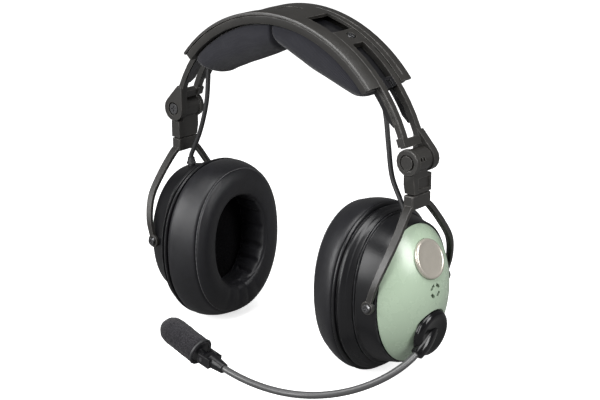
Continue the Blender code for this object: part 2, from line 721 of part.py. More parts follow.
def vent_slots():
    """Four short arcs of a ring, each a curved cutter along the dome's normal."""
    centre = Vector((dome_x(0, VENT_Z), 0, VENT_Z))
    axis = dome_normal(VENT_Z)
    first, second = across(axis)
    slots = []
    for quarter in range(4):
        rings = []
        for k in range(3):
            turn = math.radians(quarter * 90 + 25 + 20 * k)
            way = first * math.cos(turn) + second * math.sin(turn)
            ring = [centre + way * radius + axis * height
                    for radius, height in ((VENT_R - 0.5, -5), (VENT_R + 0.5, -5),
                                           (VENT_R + 0.5, 3), (VENT_R - 0.5, 3))]
            rings.append(ring)
        slots.append(loft(rings))
    return slots


def make_dome(name, side, body, boom):
    """The green outer cover, with a badge seat, a vent ring and, at the boom, its seat."""
    shares = [0.26, 0.5, 0.72, 0.88, 0.97, 1.0]

    def skin(wall, picks):
        rings = []
        for share in picks:
            half = inset(DOME_HALF, wall)
            x = DOME_X + (DOME_HEIGHT - wall) * (1 - share ** 2) ** DOME_POWER
            rings.append(oval(x, (half[0] * share, half[1] * share), power=2.0))
        return rings

    rings = skin(0.0, shares) + skin(DOME_WALL, reversed(shares[::2]))
    dome = finish(name, loft(rings), GREEN, body, side, smooth=50)
    seats = [rod(BADGE_R + 0.9, -3.2, -0.7, BADGE_POINT, BADGE_AXIS, 24)]
    wells = [rod(BADGE_R + 0.3, -1.6, 4, BADGE_POINT, BADGE_AXIS, 24)] + vent_slots()
    if boom:
        seats.append(rod(KNOB_R + 0.5, -5.5, 1.0, KNOB_POINT, KNOB_AXIS, 24))
        well = [(0, -9), (2.7, -9), (2.7, 0), (KNOB_R + 0.9, 0), (KNOB_R + 0.9, 14), (0, 14)]
        wells.append(turned(well, KNOB_POINT, KNOB_AXIS, 24))
    join(dome, [seats], body, side)
    cut(dome, [wells], body, side)
    return dome


def make_badge(name, side, body):
    """A plain bevelled metal disc."""
    profile = [(0, -1.3), (BADGE_R, -1.3), (BADGE_R, 0.2), (BADGE_R - 1.8, 0.9), (0, 0.9)]
    return finish(name, turned(profile, BADGE_POINT, BADGE_AXIS, 24), SILVER, body, side)


# ---------------------------------------------------------------- boom and microphone

KNOB_DOWN = Vector((-math.sin(math.radians(KNOB_TILT)), 0, -math.cos(math.radians(KNOB_TILT))))
BOOM_OUT = (-FORE_AFT * math.cos(math.radians(BOOM_DIP))
            + KNOB_DOWN * math.sin(math.radians(BOOM_DIP)))
SOCKET = KNOB_POINT + KNOB_AXIS * SOCKET_HEIGHT
BOOM_START = SOCKET + BOOM_OUT * 15.5
BOOM_ARRIVE = Vector((-math.cos(math.radians(BOOM_END_RISE)), 0,
                      math.sin(math.radians(BOOM_END_RISE))))
MIC_AXIS = Vector((-math.cos(math.radians(MIC_RISE)), 0, math.sin(math.radians(MIC_RISE))))
MIC_POINT = BOOM_END + BOOM_ARRIVE * MIC_PIN


def boom_point(t):
    """The boom's curve from its socket (0) to the microphone (1)."""
    p1 = BOOM_START + BOOM_OUT * 26.3
    p2 = BOOM_END - BOOM_ARRIVE * 75.0
    s = 1 - t
    return BOOM_START * s ** 3 + p1 * 3 * s * s * t + p2 * 3 * s * t * t + BOOM_END * t ** 3


FLEX_POINT = boom_point(0.5)
FLEX_ALONG = (boom_point(0.51) - boom_point(0.49)).normalized()
FLEX_SHARE = BOOM_GAP / 2 / ((boom_point(0.51) - boom_point(0.49)).length / 0.02)


def make_knob(name, body):
    """The round hub the boom turns on, with the raised barrel that holds the boom."""
    profile = [(0, GAP), (KNOB_R, GAP), (KNOB_R, 2.4), (13.9, 3.9), (9.5, 5.3), (0, 6.0)]
    knob = finish(name, turned(profile, KNOB_POINT, KNOB_AXIS, 24), GLOSS, body)
    centre = KNOB_POINT + KNOB_AXIS * (SOCKET_HEIGHT + 0.6)
    join(knob, [[rod(3.9, 5.0, 17.6, centre, BOOM_OUT)]], body)
    cut(knob, [[rod(BOOM_R + 0.2, 9.0, 20.0, SOCKET, BOOM_OUT),
                rod(2.6, -1, 3.4, KNOB_POINT, KNOB_AXIS)]], body)
    return knob


def make_knob_screw(name, body):
    profile = [(0, -9.0), (5.0, -9.0), (5.0, -7.4), (2.3, -7.4), (2.3, 3.1), (0, 3.1)]
    return finish(name, turned(profile, KNOB_POINT, KNOB_AXIS), SCREW, body)


def make_knob_washer(name, body):
    """The friction washer that holds the boom where it is put."""
    profile = [(2.6, -7.1), (6.5, -7.1), (6.5, -5.8), (2.6, -5.8)]
    return finish(name, turned(profile, KNOB_POINT, KNOB_AXIS, closed=True), RUBBER, body)


def make_boom(name, start, end, lead, body):
    steps = 8
    path = [boom_point(start + (end - start) * i / steps) for i in range(steps + 1)]
    return finish(name, tube(lead + path, BOOM_R, 8), RUBBER, body)


def make_mic_bracket(name, body):
    """The ferrule on the boom's end and the clevis the microphone tilts in."""
    ferrule = turned([(0, 0.4), (2.6, 0.4), (2.6, -5.0), (3.4, -5.0), (4.3, 2.5),
                      (4.6, 5.8), (0, 5.8)], BOOM_END, BOOM_ARRIVE)
    bracket = finish(name, ferrule, BLACK, body)
    rise = BOOM_ARRIVE.cross(FORE_AFT)

    def block(near, far, half_y, half_rise):
        return hull([BOOM_END + BOOM_ARRIVE * a + FORE_AFT * b + rise * c
                     for a in (near, far) for b in (-half_y, half_y)
                     for c in (-half_rise, half_rise)])

    join(bracket, [[block(3.0, 12.6, 5.6, 3.1)]], body)
    cut(bracket, [[block(6.4, 14.0, 4.2, 5.0)], [rod(1.35, -7, 7, MIC_POINT)]], body)
    return bracket


def make_mic_pin(name, body):
    return finish(name, rod(1.15, -5.9, 5.9, MIC_POINT, segments=16), SCREW, body)


def make_mic_capsule(name, body):
    """The microphone's can, and the eye it tilts on."""
    can = turned([(0, 1.0), (2.4, 1.0), (2.4, 5.6), (6.6, 5.6), (6.6, 20.0), (0, 20.0)],
                 MIC_POINT, MIC_AXIS)
    capsule = finish(name, can, BLACK, body)
    join(capsule, [[rod(2.7, -3.9, 3.9, MIC_POINT)]], body)
    cut(capsule, [[rod(1.35, -5, 5, MIC_POINT)]], body)
    return capsule


def make_muff(name, body):
    """The foam windscreen: a capsule, open at the back, pulled over the can."""
    start, end = 5.0, 5.0 + MUFF_LENGTH
    profile = [(6.9, start), (7.9, start), (8.0, start + 2.2), (MUFF_R, start + 3.0)]
    round_from = end - MUFF_R
    for i in range(6):
        turn = math.radians(18 * i)
        radius = MUFF_R * math.cos(turn) if i < 5 else 0
        profile.append((radius, round_from + MUFF_R * math.sin(turn)))
    profile = [(0, 20.4), (6.9, 20.4)] + profile
    return finish(name, turned(profile, MIC_POINT, MIC_AXIS, 16), FOAM, body)


def make_muff_ring(name, body):
    """The rubber ring that grips the muff's open end."""
    profile = [(8.25, 5.3), (9.0, 5.5), (9.2, 6.1), (9.0, 6.7), (8.25, 6.9)]
    return finish(name, turned(profile, MIC_POINT, MIC_AXIS, 16, closed=True), RUBBER, body)


# ---------------------------------------------------------------- cables

def make_cable(name, side, body):
    """The crossover lead hanging from the band's end to the cup's grommet."""
    y = CABLE_Y * side
    start = band_point(95.5, y, 49.6)
    path = curve_points([start, (73.2, y, 108.0), (75.8, y, 91.0), (81.6, y, 72.0),
                         (88.2, y, 58.5), (GROMMET_X, y, 52.0), (GROMMET_X, y, 43.5)], 2)
    return finish(name, tube(path, CABLE_R, 8), RUBBER, body, side)


# ---------------------------------------------------------------- assembly

def make_band():
    band = axis_empty("band", (0, 0, 0))
    make_cover(band)
    make_tray(band)
    make_frame(band)
    make_pad("head_pad_left", 1, band)
    make_pad("head_pad_right", -1, band)
    for label, side in (("left", 1), ("right", -1)):
        make_guide_clip(f"guide_clip_{label}", side, band)
    return band


def make_side(label, side, band):
    """Everything that hangs from one end of the band."""
    slide = axis_empty(f"slide_{label}", (0, 0, BAND_Z), band)
    make_arm(f"slider_arm_{label}", side, slide)
    make_stop_screw(f"arm_stop_screw_{label}", side, slide)
    make_hinge_pin(f"hinge_pin_{label}", side, slide)
    make_hinge_screw(f"hinge_screw_{label}", side, slide)

    fold = axis_empty(f"fold_{label}", turned_about(HINGE, side), slide)
    make_block(f"swivel_block_{label}", side, fold)

    swivel = axis_empty(f"swivel_{label}", turned_about((HINGE_X, 0, YOKE_TOP_Z), side), fold)
    make_yoke(f"yoke_{label}", side, swivel)
    make_swivel_screw(f"swivel_screw_{label}", side, swivel)

    tilt = axis_empty(f"tilt_{label}", turned_about((PIVOT_X, 0, PIVOT_Z), side), swivel)
    make_pivot_screw(f"front_pivot_screw_{label}", -side, side, tilt)
    make_pivot_screw(f"rear_pivot_screw_{label}", side, side, tilt)
    make_cup_shell(f"cup_shell_{label}", side, tilt)
    make_dome(f"dome_cover_{label}", side, tilt, boom=side > 0)
    make_badge(f"badge_{label}", side, tilt)
    make_cushion_plate(f"cushion_plate_{label}", side, tilt)
    make_ear_cushion(f"ear_cushion_{label}", side, tilt)
    make_ear_scrim(f"ear_scrim_{label}", side, tilt)
    make_baffle(f"baffle_{label}", side, tilt)
    make_speaker(f"speaker_{label}", side, tilt)
    make_damping_foam(f"damping_foam_{label}", side, tilt)
    make_circuit_board(f"circuit_board_{label}", side, tilt)
    make_grommet(f"cable_grommet_{label}", side, tilt)
    make_cable(f"crossover_cable_{label}", side, tilt)
    return tilt


def make_boom_side(cup):
    hub = axis_empty("boom_hub", KNOB_POINT, cup)
    make_knob("boom_knob", hub)
    make_knob_screw("boom_knob_screw", hub)
    make_knob_washer("boom_washer", hub)
    lead = [SOCKET + BOOM_OUT * 9.6, SOCKET + BOOM_OUT * 12.5]
    make_boom("boom_tube_base", 0.0, 0.5 - FLEX_SHARE, lead, hub)

    flex = axis_empty("boom_flex", FLEX_POINT, hub)
    make_boom("boom_tube_tip", 0.5 + FLEX_SHARE, 1.0, [], flex)
    make_mic_bracket("mic_bracket", flex)
    make_mic_pin("mic_pin", flex)

    mic = axis_empty("mic_tilt", MIC_POINT, flex)
    make_mic_capsule("mic_capsule", mic)
    make_muff("mic_muff", mic)
    make_muff_ring("muff_ring", mic)


def make_headset():
    band = make_band()
    left_cup = make_side("left", 1, band)
    make_side("right", -1, band)
    make_boom_side(left_cup)


make_headset()
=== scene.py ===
"""The looks of the aviation headset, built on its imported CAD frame.

Hard pieces whose shape is right stay as the frame gives them, with finer materials and softened
edges. The cushions, pads, foams, cables and the smooth outer covers are made here. Shapes are
drawn in millimetres from the point midway between the ear cups, on the +X side, and turned half a
circle about Z for the other side, as the frame's own are.
"""

import json
import math

import bmesh
import bpy
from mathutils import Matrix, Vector, noise


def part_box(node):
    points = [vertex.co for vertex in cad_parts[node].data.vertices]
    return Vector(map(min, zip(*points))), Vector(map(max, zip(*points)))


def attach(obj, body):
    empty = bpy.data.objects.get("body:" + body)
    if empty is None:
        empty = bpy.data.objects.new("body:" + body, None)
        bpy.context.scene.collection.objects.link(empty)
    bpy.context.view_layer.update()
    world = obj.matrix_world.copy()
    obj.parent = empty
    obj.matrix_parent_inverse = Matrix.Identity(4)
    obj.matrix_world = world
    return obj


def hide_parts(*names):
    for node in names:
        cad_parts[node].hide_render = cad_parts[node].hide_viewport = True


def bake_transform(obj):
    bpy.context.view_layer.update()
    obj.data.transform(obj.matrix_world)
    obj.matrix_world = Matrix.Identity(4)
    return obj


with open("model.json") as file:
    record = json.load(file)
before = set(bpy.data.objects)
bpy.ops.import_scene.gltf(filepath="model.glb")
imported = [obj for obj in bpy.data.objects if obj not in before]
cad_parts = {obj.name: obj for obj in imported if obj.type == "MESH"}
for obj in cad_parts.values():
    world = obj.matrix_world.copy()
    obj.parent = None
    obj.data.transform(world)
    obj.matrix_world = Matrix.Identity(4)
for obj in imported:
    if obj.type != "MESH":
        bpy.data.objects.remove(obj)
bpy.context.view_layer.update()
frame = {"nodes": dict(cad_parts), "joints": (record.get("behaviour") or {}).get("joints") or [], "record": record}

MM = 0.001
SIDES = (("left", 1), ("right", -1))
JOINTS = {joint["name"]: joint for joint in frame["joints"]}
MOUNTS = {mount["name"]: mount for mount in frame["record"]["mounts"]}


def centre(node):
    low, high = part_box(node)
    return (Vector(low) + Vector(high)) / 2


PIVOT_RISE = 0.25                # the tilt joints' height above the middle, in millimetres
PIVOTS = [Vector(JOINTS[name]["pos_m"]) for name in ("tilt_left", "tilt_right")]
MIDDLE = (PIVOTS[0] + PIVOTS[1]) / 2 - Vector((0, 0, PIVOT_RISE * MM))


def drawn(point):
    """A point of the row frame, in millimetres from the middle."""
    return (Vector(point) - MIDDLE) / MM


def placed(point, side=1):
    """A drawn point on its side, in the row frame."""
    return MIDDLE + Vector((point[0] * side, point[1] * side, point[2])) * MM


# ---------------------------------------------------------------- driving sizes, in millimetres

BAND_Z = drawn(JOINTS["slide_left"]["pos_m"]).z
COVER_TOP = drawn(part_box("band_cover")[1])
COVER_R = COVER_TOP.z - BAND_Z
DOME_LOW = drawn(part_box("dome_cover_left")[0])
DOME_HIGH = drawn(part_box("dome_cover_left")[1])
DOME_HALF = (DOME_HIGH.y, DOME_HIGH.z)
DOME_HEIGHT = 17.7
DOME_POWER = 0.85
DOME_WALL = 2.4
OVAL_POWER = 2.15
CUSHION_HALF = (39.75, 50.0)     # the oval of the seam round the cushion's face
HOLE_HALF = (23.0, 32.0)
SEAM_X = 51.2
FLANGE_X = 71.6
FLANGE_STEP_X = 76.5             # the step inside the flange that stops the shell
FLANGE_OPENING = (34.4, 43.9)
SHELL_WALL = 2.2
BADGE_R = 12.5
HUB_POINT = drawn(JOINTS["boom_rotate"]["pos_m"])
HUB_AXIS = Vector(JOINTS["boom_rotate"]["axis"]).normalized()
HUB_R = 15.0
SOCKET_HEIGHT = 3.7              # the boom's start above the hub's base
BOOM_R = 2.2
CABLE_R = 1.6
CABLE_Y = -2.5
GROMMET_X = 91.3
CLOTH_FRAMES = 20
PAD_TOP_R = 95.1
PAD_HALF_WIDTH = 18.3
PAD_END = 48.8

UP = Vector((0.0, 0.0, 1.0))
FORE_AFT = Vector((0.0, 1.0, 0.0))
OUTWARD = Vector((1.0, 0.0, 0.0))


# ---------------------------------------------------------------- material building blocks

class Finish:
    """A material being built: its Principled shader, and short ways to add detail."""

    def __init__(self, name, colour, roughness, metallic=0.0):
        self.material = bpy.data.materials.new(name)
        self.material.use_nodes = True
        self.tree = self.material.node_tree
        self.shader = self.tree.nodes["Principled BSDF"]
        self.shader.inputs["Base Color"].default_value = (*colour, 1.0)
        self.shader.inputs["Roughness"].default_value = roughness
        self.shader.inputs["Metallic"].default_value = metallic
        self.colour = colour
        self.material.diffuse_color = (*colour, 1.0)
        self.where = self.node("ShaderNodeTexCoord").outputs["Object"]
        self.normal = None

    def node(self, kind, **settings):
        made = self.tree.nodes.new(kind)
        for key, value in settings.items():
            setattr(made, key, value)
        return made

    def link(self, output, target):
        self.tree.links.new(output, target)

    def feed(self, made, **values):
        """Set a node's inputs by name, from numbers or from other nodes' outputs."""
        for key, value in values.items():
            target = made.inputs[key.replace("_", " ")]
            if isinstance(value, bpy.types.NodeSocket):
                self.link(value, target)
            else:
                target.default_value = value
        return made

    def math(self, operation, first, second=0.0):
        made = self.node("ShaderNodeMath", operation=operation)
        for target, value in zip(made.inputs, (first, second)):
            if isinstance(value, bpy.types.NodeSocket):
                self.link(value, target)
            else:
                target.default_value = value
        return made.outputs[0]

    def noise(self, size_mm, detail=3.0, roughness=0.55):
        made = self.feed(self.node("ShaderNodeTexNoise"), Vector=self.where,
                         Scale=1000.0 / size_mm, Detail=detail, Roughness=roughness)
        return made.outputs["Fac"]

    def cells(self, size_mm, feature="F1", randomness=1.0):
        made = self.feed(self.node("ShaderNodeTexVoronoi", feature=feature), Vector=self.where,
                         Scale=1000.0 / size_mm, Randomness=randomness)
        return made.outputs["Distance"]

    def ranged(self, value, low, high, start=0.0, end=1.0):
        made = self.node("ShaderNodeMapRange")
        self.feed(made, Value=value)
        for name, number in (("From Min", start), ("From Max", end), ("To Min", low),
                             ("To Max", high)):
            made.inputs[name].default_value = number
        return made.outputs["Result"]

    def soften(self, radius_mm):
        """Round every edge in the shading."""
        made = self.node("ShaderNodeBevel", samples=4)
        made.inputs["Radius"].default_value = radius_mm * MM
        self.normal = made.outputs["Normal"]
        return self

    def bump(self, height, depth_mm, strength=1.0):
        made = self.feed(self.node("ShaderNodeBump"), Height=height, Strength=strength,
                         Distance=depth_mm * MM)
        if self.normal:
            self.link(self.normal, made.inputs["Normal"])
        self.normal = made.outputs["Normal"]
        return self

    def tint(self, factor, other):
        """Vary the colour towards another one, on top of what is there."""
        made = self.node("ShaderNodeMix", data_type="RGBA")
        self.link(factor, made.inputs["Factor"])
        current = self.shader.inputs["Base Color"]
        if current.is_linked:
            self.link(current.links[0].from_socket, made.inputs["A"])
        else:
            made.inputs["A"].default_value = (*self.colour, 1.0)
        made.inputs["B"].default_value = (*other, 1.0)
        self.link(made.outputs["Result"], current)
        return self

    def roughen(self, factor, low, high):
        self.link(self.ranged(factor, low, high), self.shader.inputs["Roughness"])
        return self

    def painted_edge_highlight(self, colour, radius_mm=0.8):
        """A painted highlight along edges: a lighter tone, broken up by noise."""
        rounded = self.node("ShaderNodeBevel", samples=4)
        rounded.inputs["Radius"].default_value = radius_mm * MM
        flat = self.node("ShaderNodeNewGeometry")
        dot = self.node("ShaderNodeVectorMath", operation="DOT_PRODUCT")
        self.link(rounded.outputs["Normal"], dot.inputs[0])
        self.link(flat.outputs["Normal"], dot.inputs[1])
        edge = self.ranged(dot.outputs["Value"], 1.0, 0.0, 0.9, 0.995)
        # painted highlight along the edges, broken up by noise
        highlight_mask = self.math("MULTIPLY", edge, self.ranged(self.noise(6.0), 0.0, 1.0, 0.35, 0.7))
        return self.tint(highlight_mask, colour)

    def done(self, **extra):
        for key, value in extra.items():
            self.shader.inputs[key.replace("_", " ")].default_value = value
        if self.normal:
            self.link(self.normal, self.shader.inputs["Normal"])
        return self.material


# ---------------------------------------------------------------- materials

def satin_plastic():
    """The band, arms and yokes: dark warm grey, fine moulded grain, painted highlights along the edges."""
    finish = Finish("satin_grey_plastic", (0.0135, 0.0125, 0.011), 0.36).soften(0.35)
    finish.tint(finish.ranged(finish.noise(35.0), 0.0, 0.5, 0.35, 0.75), (0.020, 0.0185, 0.016))
    # painted highlight: a lighter tone along the edges
    finish.painted_edge_highlight((0.12, 0.113, 0.105))
    finish.bump(finish.noise(0.45, 4.0, 0.7), 0.03, 0.5)
    finish.roughen(finish.noise(9.0, 5.0), 0.3, 0.5)
    return finish.done(Specular_IOR_Level=0.75)


def black_plastic():
    """The cup shells, cushion plates and clips."""
    finish = Finish("black_plastic", (0.004, 0.004, 0.005), 0.3).soften(0.3)
    # painted highlight: a lighter tone along the rims and lips
    finish.painted_edge_highlight((0.09, 0.09, 0.093), 0.5)
    finish.bump(finish.noise(0.5, 4.0, 0.7), 0.02, 0.4)
    finish.roughen(finish.noise(14.0, 4.0), 0.24, 0.36)
    return finish.done(Specular_IOR_Level=0.5)


def gloss_plastic():
    finish = Finish("gloss_black_plastic", (0.004, 0.004, 0.0045), 0.14).soften(0.4)
    finish.bump(finish.noise(3.0, 2.0), 0.02, 0.3)
    finish.roughen(finish.noise(12.0, 6.0), 0.1, 0.24)
    return finish.done(Specular_IOR_Level=0.35, Coat_Weight=0.1, Coat_Roughness=0.08)


def sage_plastic():
    """The domes: smooth semi-gloss green with a faint moulded ripple and fine scuffs."""
    finish = Finish("sage_green_plastic", (0.365, 0.46, 0.345), 0.28).soften(0.3)
    finish.tint(finish.ranged(finish.noise(28.0), 0.0, 0.2, 0.3, 0.8), (0.34, 0.435, 0.325))
    finish.tint(finish.ranged(finish.noise(0.9, 2.0), 0.0, 0.1, 0.62, 0.75), (0.41, 0.50, 0.39))
    finish.bump(finish.noise(2.4, 2.0), 0.015, 0.35)
    finish.roughen(finish.noise(10.0, 6.0, 0.65), 0.2, 0.34)
    return finish.done(Specular_IOR_Level=0.6, Coat_Weight=0.35, Coat_Roughness=0.32)


def leather():
    """Soft black leatherette: fine pebbles, broad creases, and a painted sheen that makes the colour lighter on
    the high spots.
    """
    finish = Finish("black_leather", (0.0065, 0.0065, 0.008), 0.39)
    pebbles = finish.ranged(finish.cells(0.75, "DISTANCE_TO_EDGE"), 0.0, 1.0, 0.0, 0.3)
    creases = finish.noise(4.5, 6.0, 0.6)
    # painted sheen: the raised crease tops are coloured lighter
    finish.tint(finish.ranged(creases, 0.0, 0.7, 0.35, 0.75), (0.010, 0.010, 0.013))
    finish.bump(creases, 0.12, 0.5)
    finish.bump(pebbles, 0.05, 0.5)
    finish.roughen(finish.noise(7.0, 5.0), 0.33, 0.52)
    return finish.done(Specular_IOR_Level=0.5, Sheen_Weight=0.05, Sheen_Roughness=0.4)


def pad_fabric():
    """The head pad's woven cover, its threads along and across the band."""
    finish = Finish("pad_fabric", (0.014, 0.014, 0.018), 0.95)
    split = finish.node("ShaderNodeSeparateXYZ")
    finish.link(finish.where, split.inputs[0])
    along = finish.math("ARCTAN2", finish.math("SUBTRACT", split.outputs["X"], MIDDLE.x),
                        finish.math("SUBTRACT", split.outputs["Z"], placed((0, 0, BAND_Z)).z))
    thread = 2 * math.pi / 0.9
    warp = finish.math("SINE", finish.math("MULTIPLY", along, 85.0 * thread))
    weft = finish.math("SINE", finish.math("MULTIPLY", split.outputs["Y"], thread / MM))
    weave = finish.ranged(finish.math("MULTIPLY", warp, weft), 0.0, 1.0, -1.0, 1.0)
    finish.tint(finish.ranged(weave, 0.0, 0.8, 0.35, 1.0), (0.031, 0.031, 0.039))
    finish.tint(finish.ranged(finish.noise(16.0, 5.0), 0.0, 0.45, 0.4, 0.75), (0.022, 0.022, 0.028))
    finish.bump(finish.noise(5.0, 4.0), 0.25, 0.5)
    finish.bump(weave, 0.16, 0.8)
    finish.roughen(weave, 0.85, 1.0)
    return finish.done(Sheen_Weight=0.15, Sheen_Roughness=0.5, Specular_IOR_Level=0.2)


def foam(name="black_foam", tone=1.0):
    """Open-cell foam for the microphone's muff and, in a darker tone with less sheen, the ear scrims, where the
    darker tone is painted shade for the deep ear opening.
    """
    finish = Finish(name, (0.009 * tone, 0.0085 * tone, 0.0105 * tone), 1.0)
    pores = finish.ranged(finish.cells(0.8), 1.0, 0.0, 0.1, 0.75)
    finish.tint(finish.ranged(pores, 0.0, 0.9), (0.030 * tone, 0.028 * tone, 0.033 * tone))
    finish.bump(finish.noise(2.2, 5.0, 0.7), 0.3, 0.7)
    finish.bump(pores, 0.35, 0.9)
    return finish.done(Sheen_Weight=0.1 * tone, Sheen_Roughness=0.6,
                       Specular_IOR_Level=0.15 * tone)


def screw_metal():
    finish = Finish("dark_screw_steel", (0.16, 0.16, 0.165), 0.32, 1.0).soften(0.15)
    finish.bump(finish.noise(0.3, 3.0), 0.01, 0.5)
    finish.roughen(finish.noise(1.5, 4.0), 0.24, 0.45)
    return finish.done()


def driver_metal():
    finish = Finish("driver_steel", (0.35, 0.35, 0.36), 0.35, 1.0).soften(0.3)
    finish.roughen(finish.noise(5.0, 5.0), 0.25, 0.5)
    return finish.done()


def badge_metal():
    """A polished disc with fine turned rings and a few soft marks."""
    finish = Finish("badge_silver", (0.60, 0.56, 0.49), 0.24, 0.6).soften(0.3)
    finish.tint(finish.ranged(finish.noise(7.0, 3.0), 0.0, 0.5, 0.4, 0.8), (0.50, 0.465, 0.41))
    finish.bump(finish.noise(0.6, 3.0), 0.002, 0.3)
    finish.roughen(finish.noise(4.0, 6.0), 0.2, 0.3)
    return finish.done()


def rubber():
    finish = Finish("cable_rubber", (0.02, 0.02, 0.021), 0.5).soften(0.25)
    finish.tint(finish.ranged(finish.noise(11.0, 4.0), 0.0, 0.6, 0.4, 0.8), (0.034, 0.034, 0.036))
    finish.bump(finish.noise(0.5, 4.0), 0.03, 0.5)
    finish.roughen(finish.noise(6.0, 4.0), 0.38, 0.58)
    return finish.done()


def boom_sleeve():
    """The gooseneck's smooth skin, lighter than the cables."""
    finish = Finish("boom_sleeve", (0.06, 0.06, 0.061), 0.32)
    finish.bump(finish.noise(0.6, 4.0), 0.02, 0.4)
    finish.roughen(finish.noise(6.0, 4.0), 0.26, 0.4)
    return finish.done(Specular_IOR_Level=0.7)


def solder_mask():
    finish = Finish("circuit_board", (0.015, 0.09, 0.04), 0.4)
    finish.tint(finish.ranged(finish.cells(2.0), 0.0, 0.7, 0.3, 0.6), (0.05, 0.2, 0.1))
    return finish.done()


LOOKS = {
    "satin_grey_plastic": satin_plastic(),
    "black_plastic": black_plastic(),
    "gloss_black_plastic": gloss_plastic(),
    "sage_green_plastic": sage_plastic(),
    "black_leather": leather(),
    "pad_fabric": pad_fabric(),
    "black_foam": foam(),
    "dark_screw_steel": screw_metal(),
    "driver_steel": driver_metal(),
    "badge_silver": badge_metal(),
    "cable_rubber": rubber(),
    "circuit_board": solder_mask(),
}
SLEEVE = boom_sleeve()
# the ear scrims' foam, darkened as painted shade for the deep ear opening
SCRIM_PAINTED_SHADE = foam("scrim_foam", 0.2)
THREAD = Finish("seam_thread", (0.10, 0.10, 0.105), 0.7).done()


# ---------------------------------------------------------------- shapes

def loft(rings, closed=False):
    """A skin over rings of points. One-point rings are poles; closed joins last to first."""
    shape = bmesh.new()
    rows = [[shape.verts.new(point) for point in ring] for ring in rings]
    pairs = list(zip(rows, rows[1:]))
    if closed:
        pairs.append((rows[-1], rows[0]))
    for first, second in pairs:
        count = max(len(first), len(second))
        for i in range(count):
            j = (i + 1) % count
            if len(first) == 1:
                shape.faces.new((first[0], second[j], second[i]))
            elif len(second) == 1:
                shape.faces.new((first[i], first[j], second[0]))
            else:
                shape.faces.new((first[i], first[j], second[j], second[i]))
    if not closed:
        for row in (rows[0], rows[-1]):
            if len(row) > 2:
                shape.faces.new(row)
    return shape


def oval(x, half, segments=96, power=OVAL_POWER, rise=0.0):
    ring = []
    for i in range(segments):
        turn = 2 * math.pi * i / segments
        c, s = math.cos(turn), math.sin(turn)
        y = half[0] * math.copysign(abs(c) ** (2 / power), c)
        z = half[1] * math.copysign(abs(s) ** (2 / power), s)
        ring.append((x, y, z + rise))
    return ring


def across(axis):
    axis = Vector(axis).normalized()
    start = OUTWARD if abs(axis.x) < 0.9 else FORE_AFT
    first = (start - axis * start.dot(axis)).normalized()
    return first, axis.cross(first)


def turned(profile, origin, axis, segments=64, closed=False):
    """A lathe shape: the profile is (radius, height) pairs along an axis."""
    axis = Vector(axis).normalized()
    first, second = across(axis)
    rings = []
    for radius, height in profile:
        middle = Vector(origin) + axis * height
        if radius == 0:
            rings.append([middle])
            continue
        turns = [2 * math.pi * i / segments for i in range(segments)]
        rings.append([middle + (first * math.cos(t) + second * math.sin(t)) * radius
                      for t in turns])
    return loft(rings, closed)


def smooth_curve(controls, steps, closed=False):
    """A Catmull-Rom curve through control points of any dimension."""
    points = [Vector(p) for p in controls]
    if closed:
        padded = [points[-1]] + points + points[:2]
        spans = len(points)
    else:
        padded = [points[0] * 2 - points[1]] + points + [points[-1] * 2 - points[-2]]
        spans = len(points) - 1
    result = []
    for i in range(spans):
        p0, p1, p2, p3 = padded[i:i + 4]
        for k in range(steps):
            t = k / steps
            bend = (p0 * 2 - p1 * 5 + p2 * 4 - p3) * t * t + (p1 * 3 - p0 - p2 * 3 + p3) * t ** 3
            result.append((p1 * 2 + (p2 - p0) * t + bend) / 2)
    if not closed:
        result.append(points[-1])
    return result


def tube(path, radius, segments=16, closed=False):
    """A round tube along a path. The radius may be a function of the place along it, 0 to 1."""
    points = [Vector(p) for p in path]
    rings = []
    side_way = None
    count = len(points)
    for i, point in enumerate(points):
        if closed:
            along = (points[(i + 1) % count] - points[i - 1]).normalized()
        else:
            along = (points[min(i + 1, count - 1)] - points[max(i - 1, 0)]).normalized()
        if side_way is None:
            side_way = across(along)[0]
        side_way = (side_way - along * side_way.dot(along)).normalized()
        other = along.cross(side_way)
        size = radius(i / (count - 1)) if callable(radius) else radius
        turns = [2 * math.pi * k / segments for k in range(segments)]
        rings.append([point + (side_way * math.cos(t) + other * math.sin(t)) * size
                      for t in turns])
    return loft(rings, closed)


def made(name, shape, slot, side=1, smooth=40.0, material=None):
    """Place a drawn shape on its side and make it an object with the slot's material."""
    for vert in shape.verts:
        vert.co = placed(vert.co, side)
    bmesh.ops.recalc_face_normals(shape, faces=shape.faces)
    mesh = bpy.data.meshes.new(name)
    shape.to_mesh(mesh)
    shape.free()
    mesh.shade_smooth()
    mesh.set_sharp_from_angle(angle=math.radians(smooth))
    mesh.materials.append(material or LOOKS[slot])
    piece = bpy.data.objects.new(name, mesh)
    bpy.context.scene.collection.objects.link(piece)
    return piece


def apply_modifiers(piece):
    """Turn a piece's modifiers into its own mesh."""
    graph = bpy.context.evaluated_depsgraph_get()
    mesh = bpy.data.meshes.new_from_object(piece.evaluated_get(graph))
    piece.modifiers.clear()
    piece.data = mesh


def cut(piece, shapes, side):
    for shape in shapes:
        cutter = made(f"{piece.name}_cutter", shape, "black_plastic", side)
        step = piece.modifiers.new("Cut", "BOOLEAN")
        step.operation = "DIFFERENCE"
        step.solver = "EXACT"
        step.object = cutter
        apply_modifiers(piece)
        bpy.data.objects.remove(cutter)
    piece.data.set_sharp_from_angle(angle=math.radians(30))


def stands_for(piece, body, *nodes):
    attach(piece, body)
    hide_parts(*nodes)
    return piece


# ---------------------------------------------------------------- soft goods

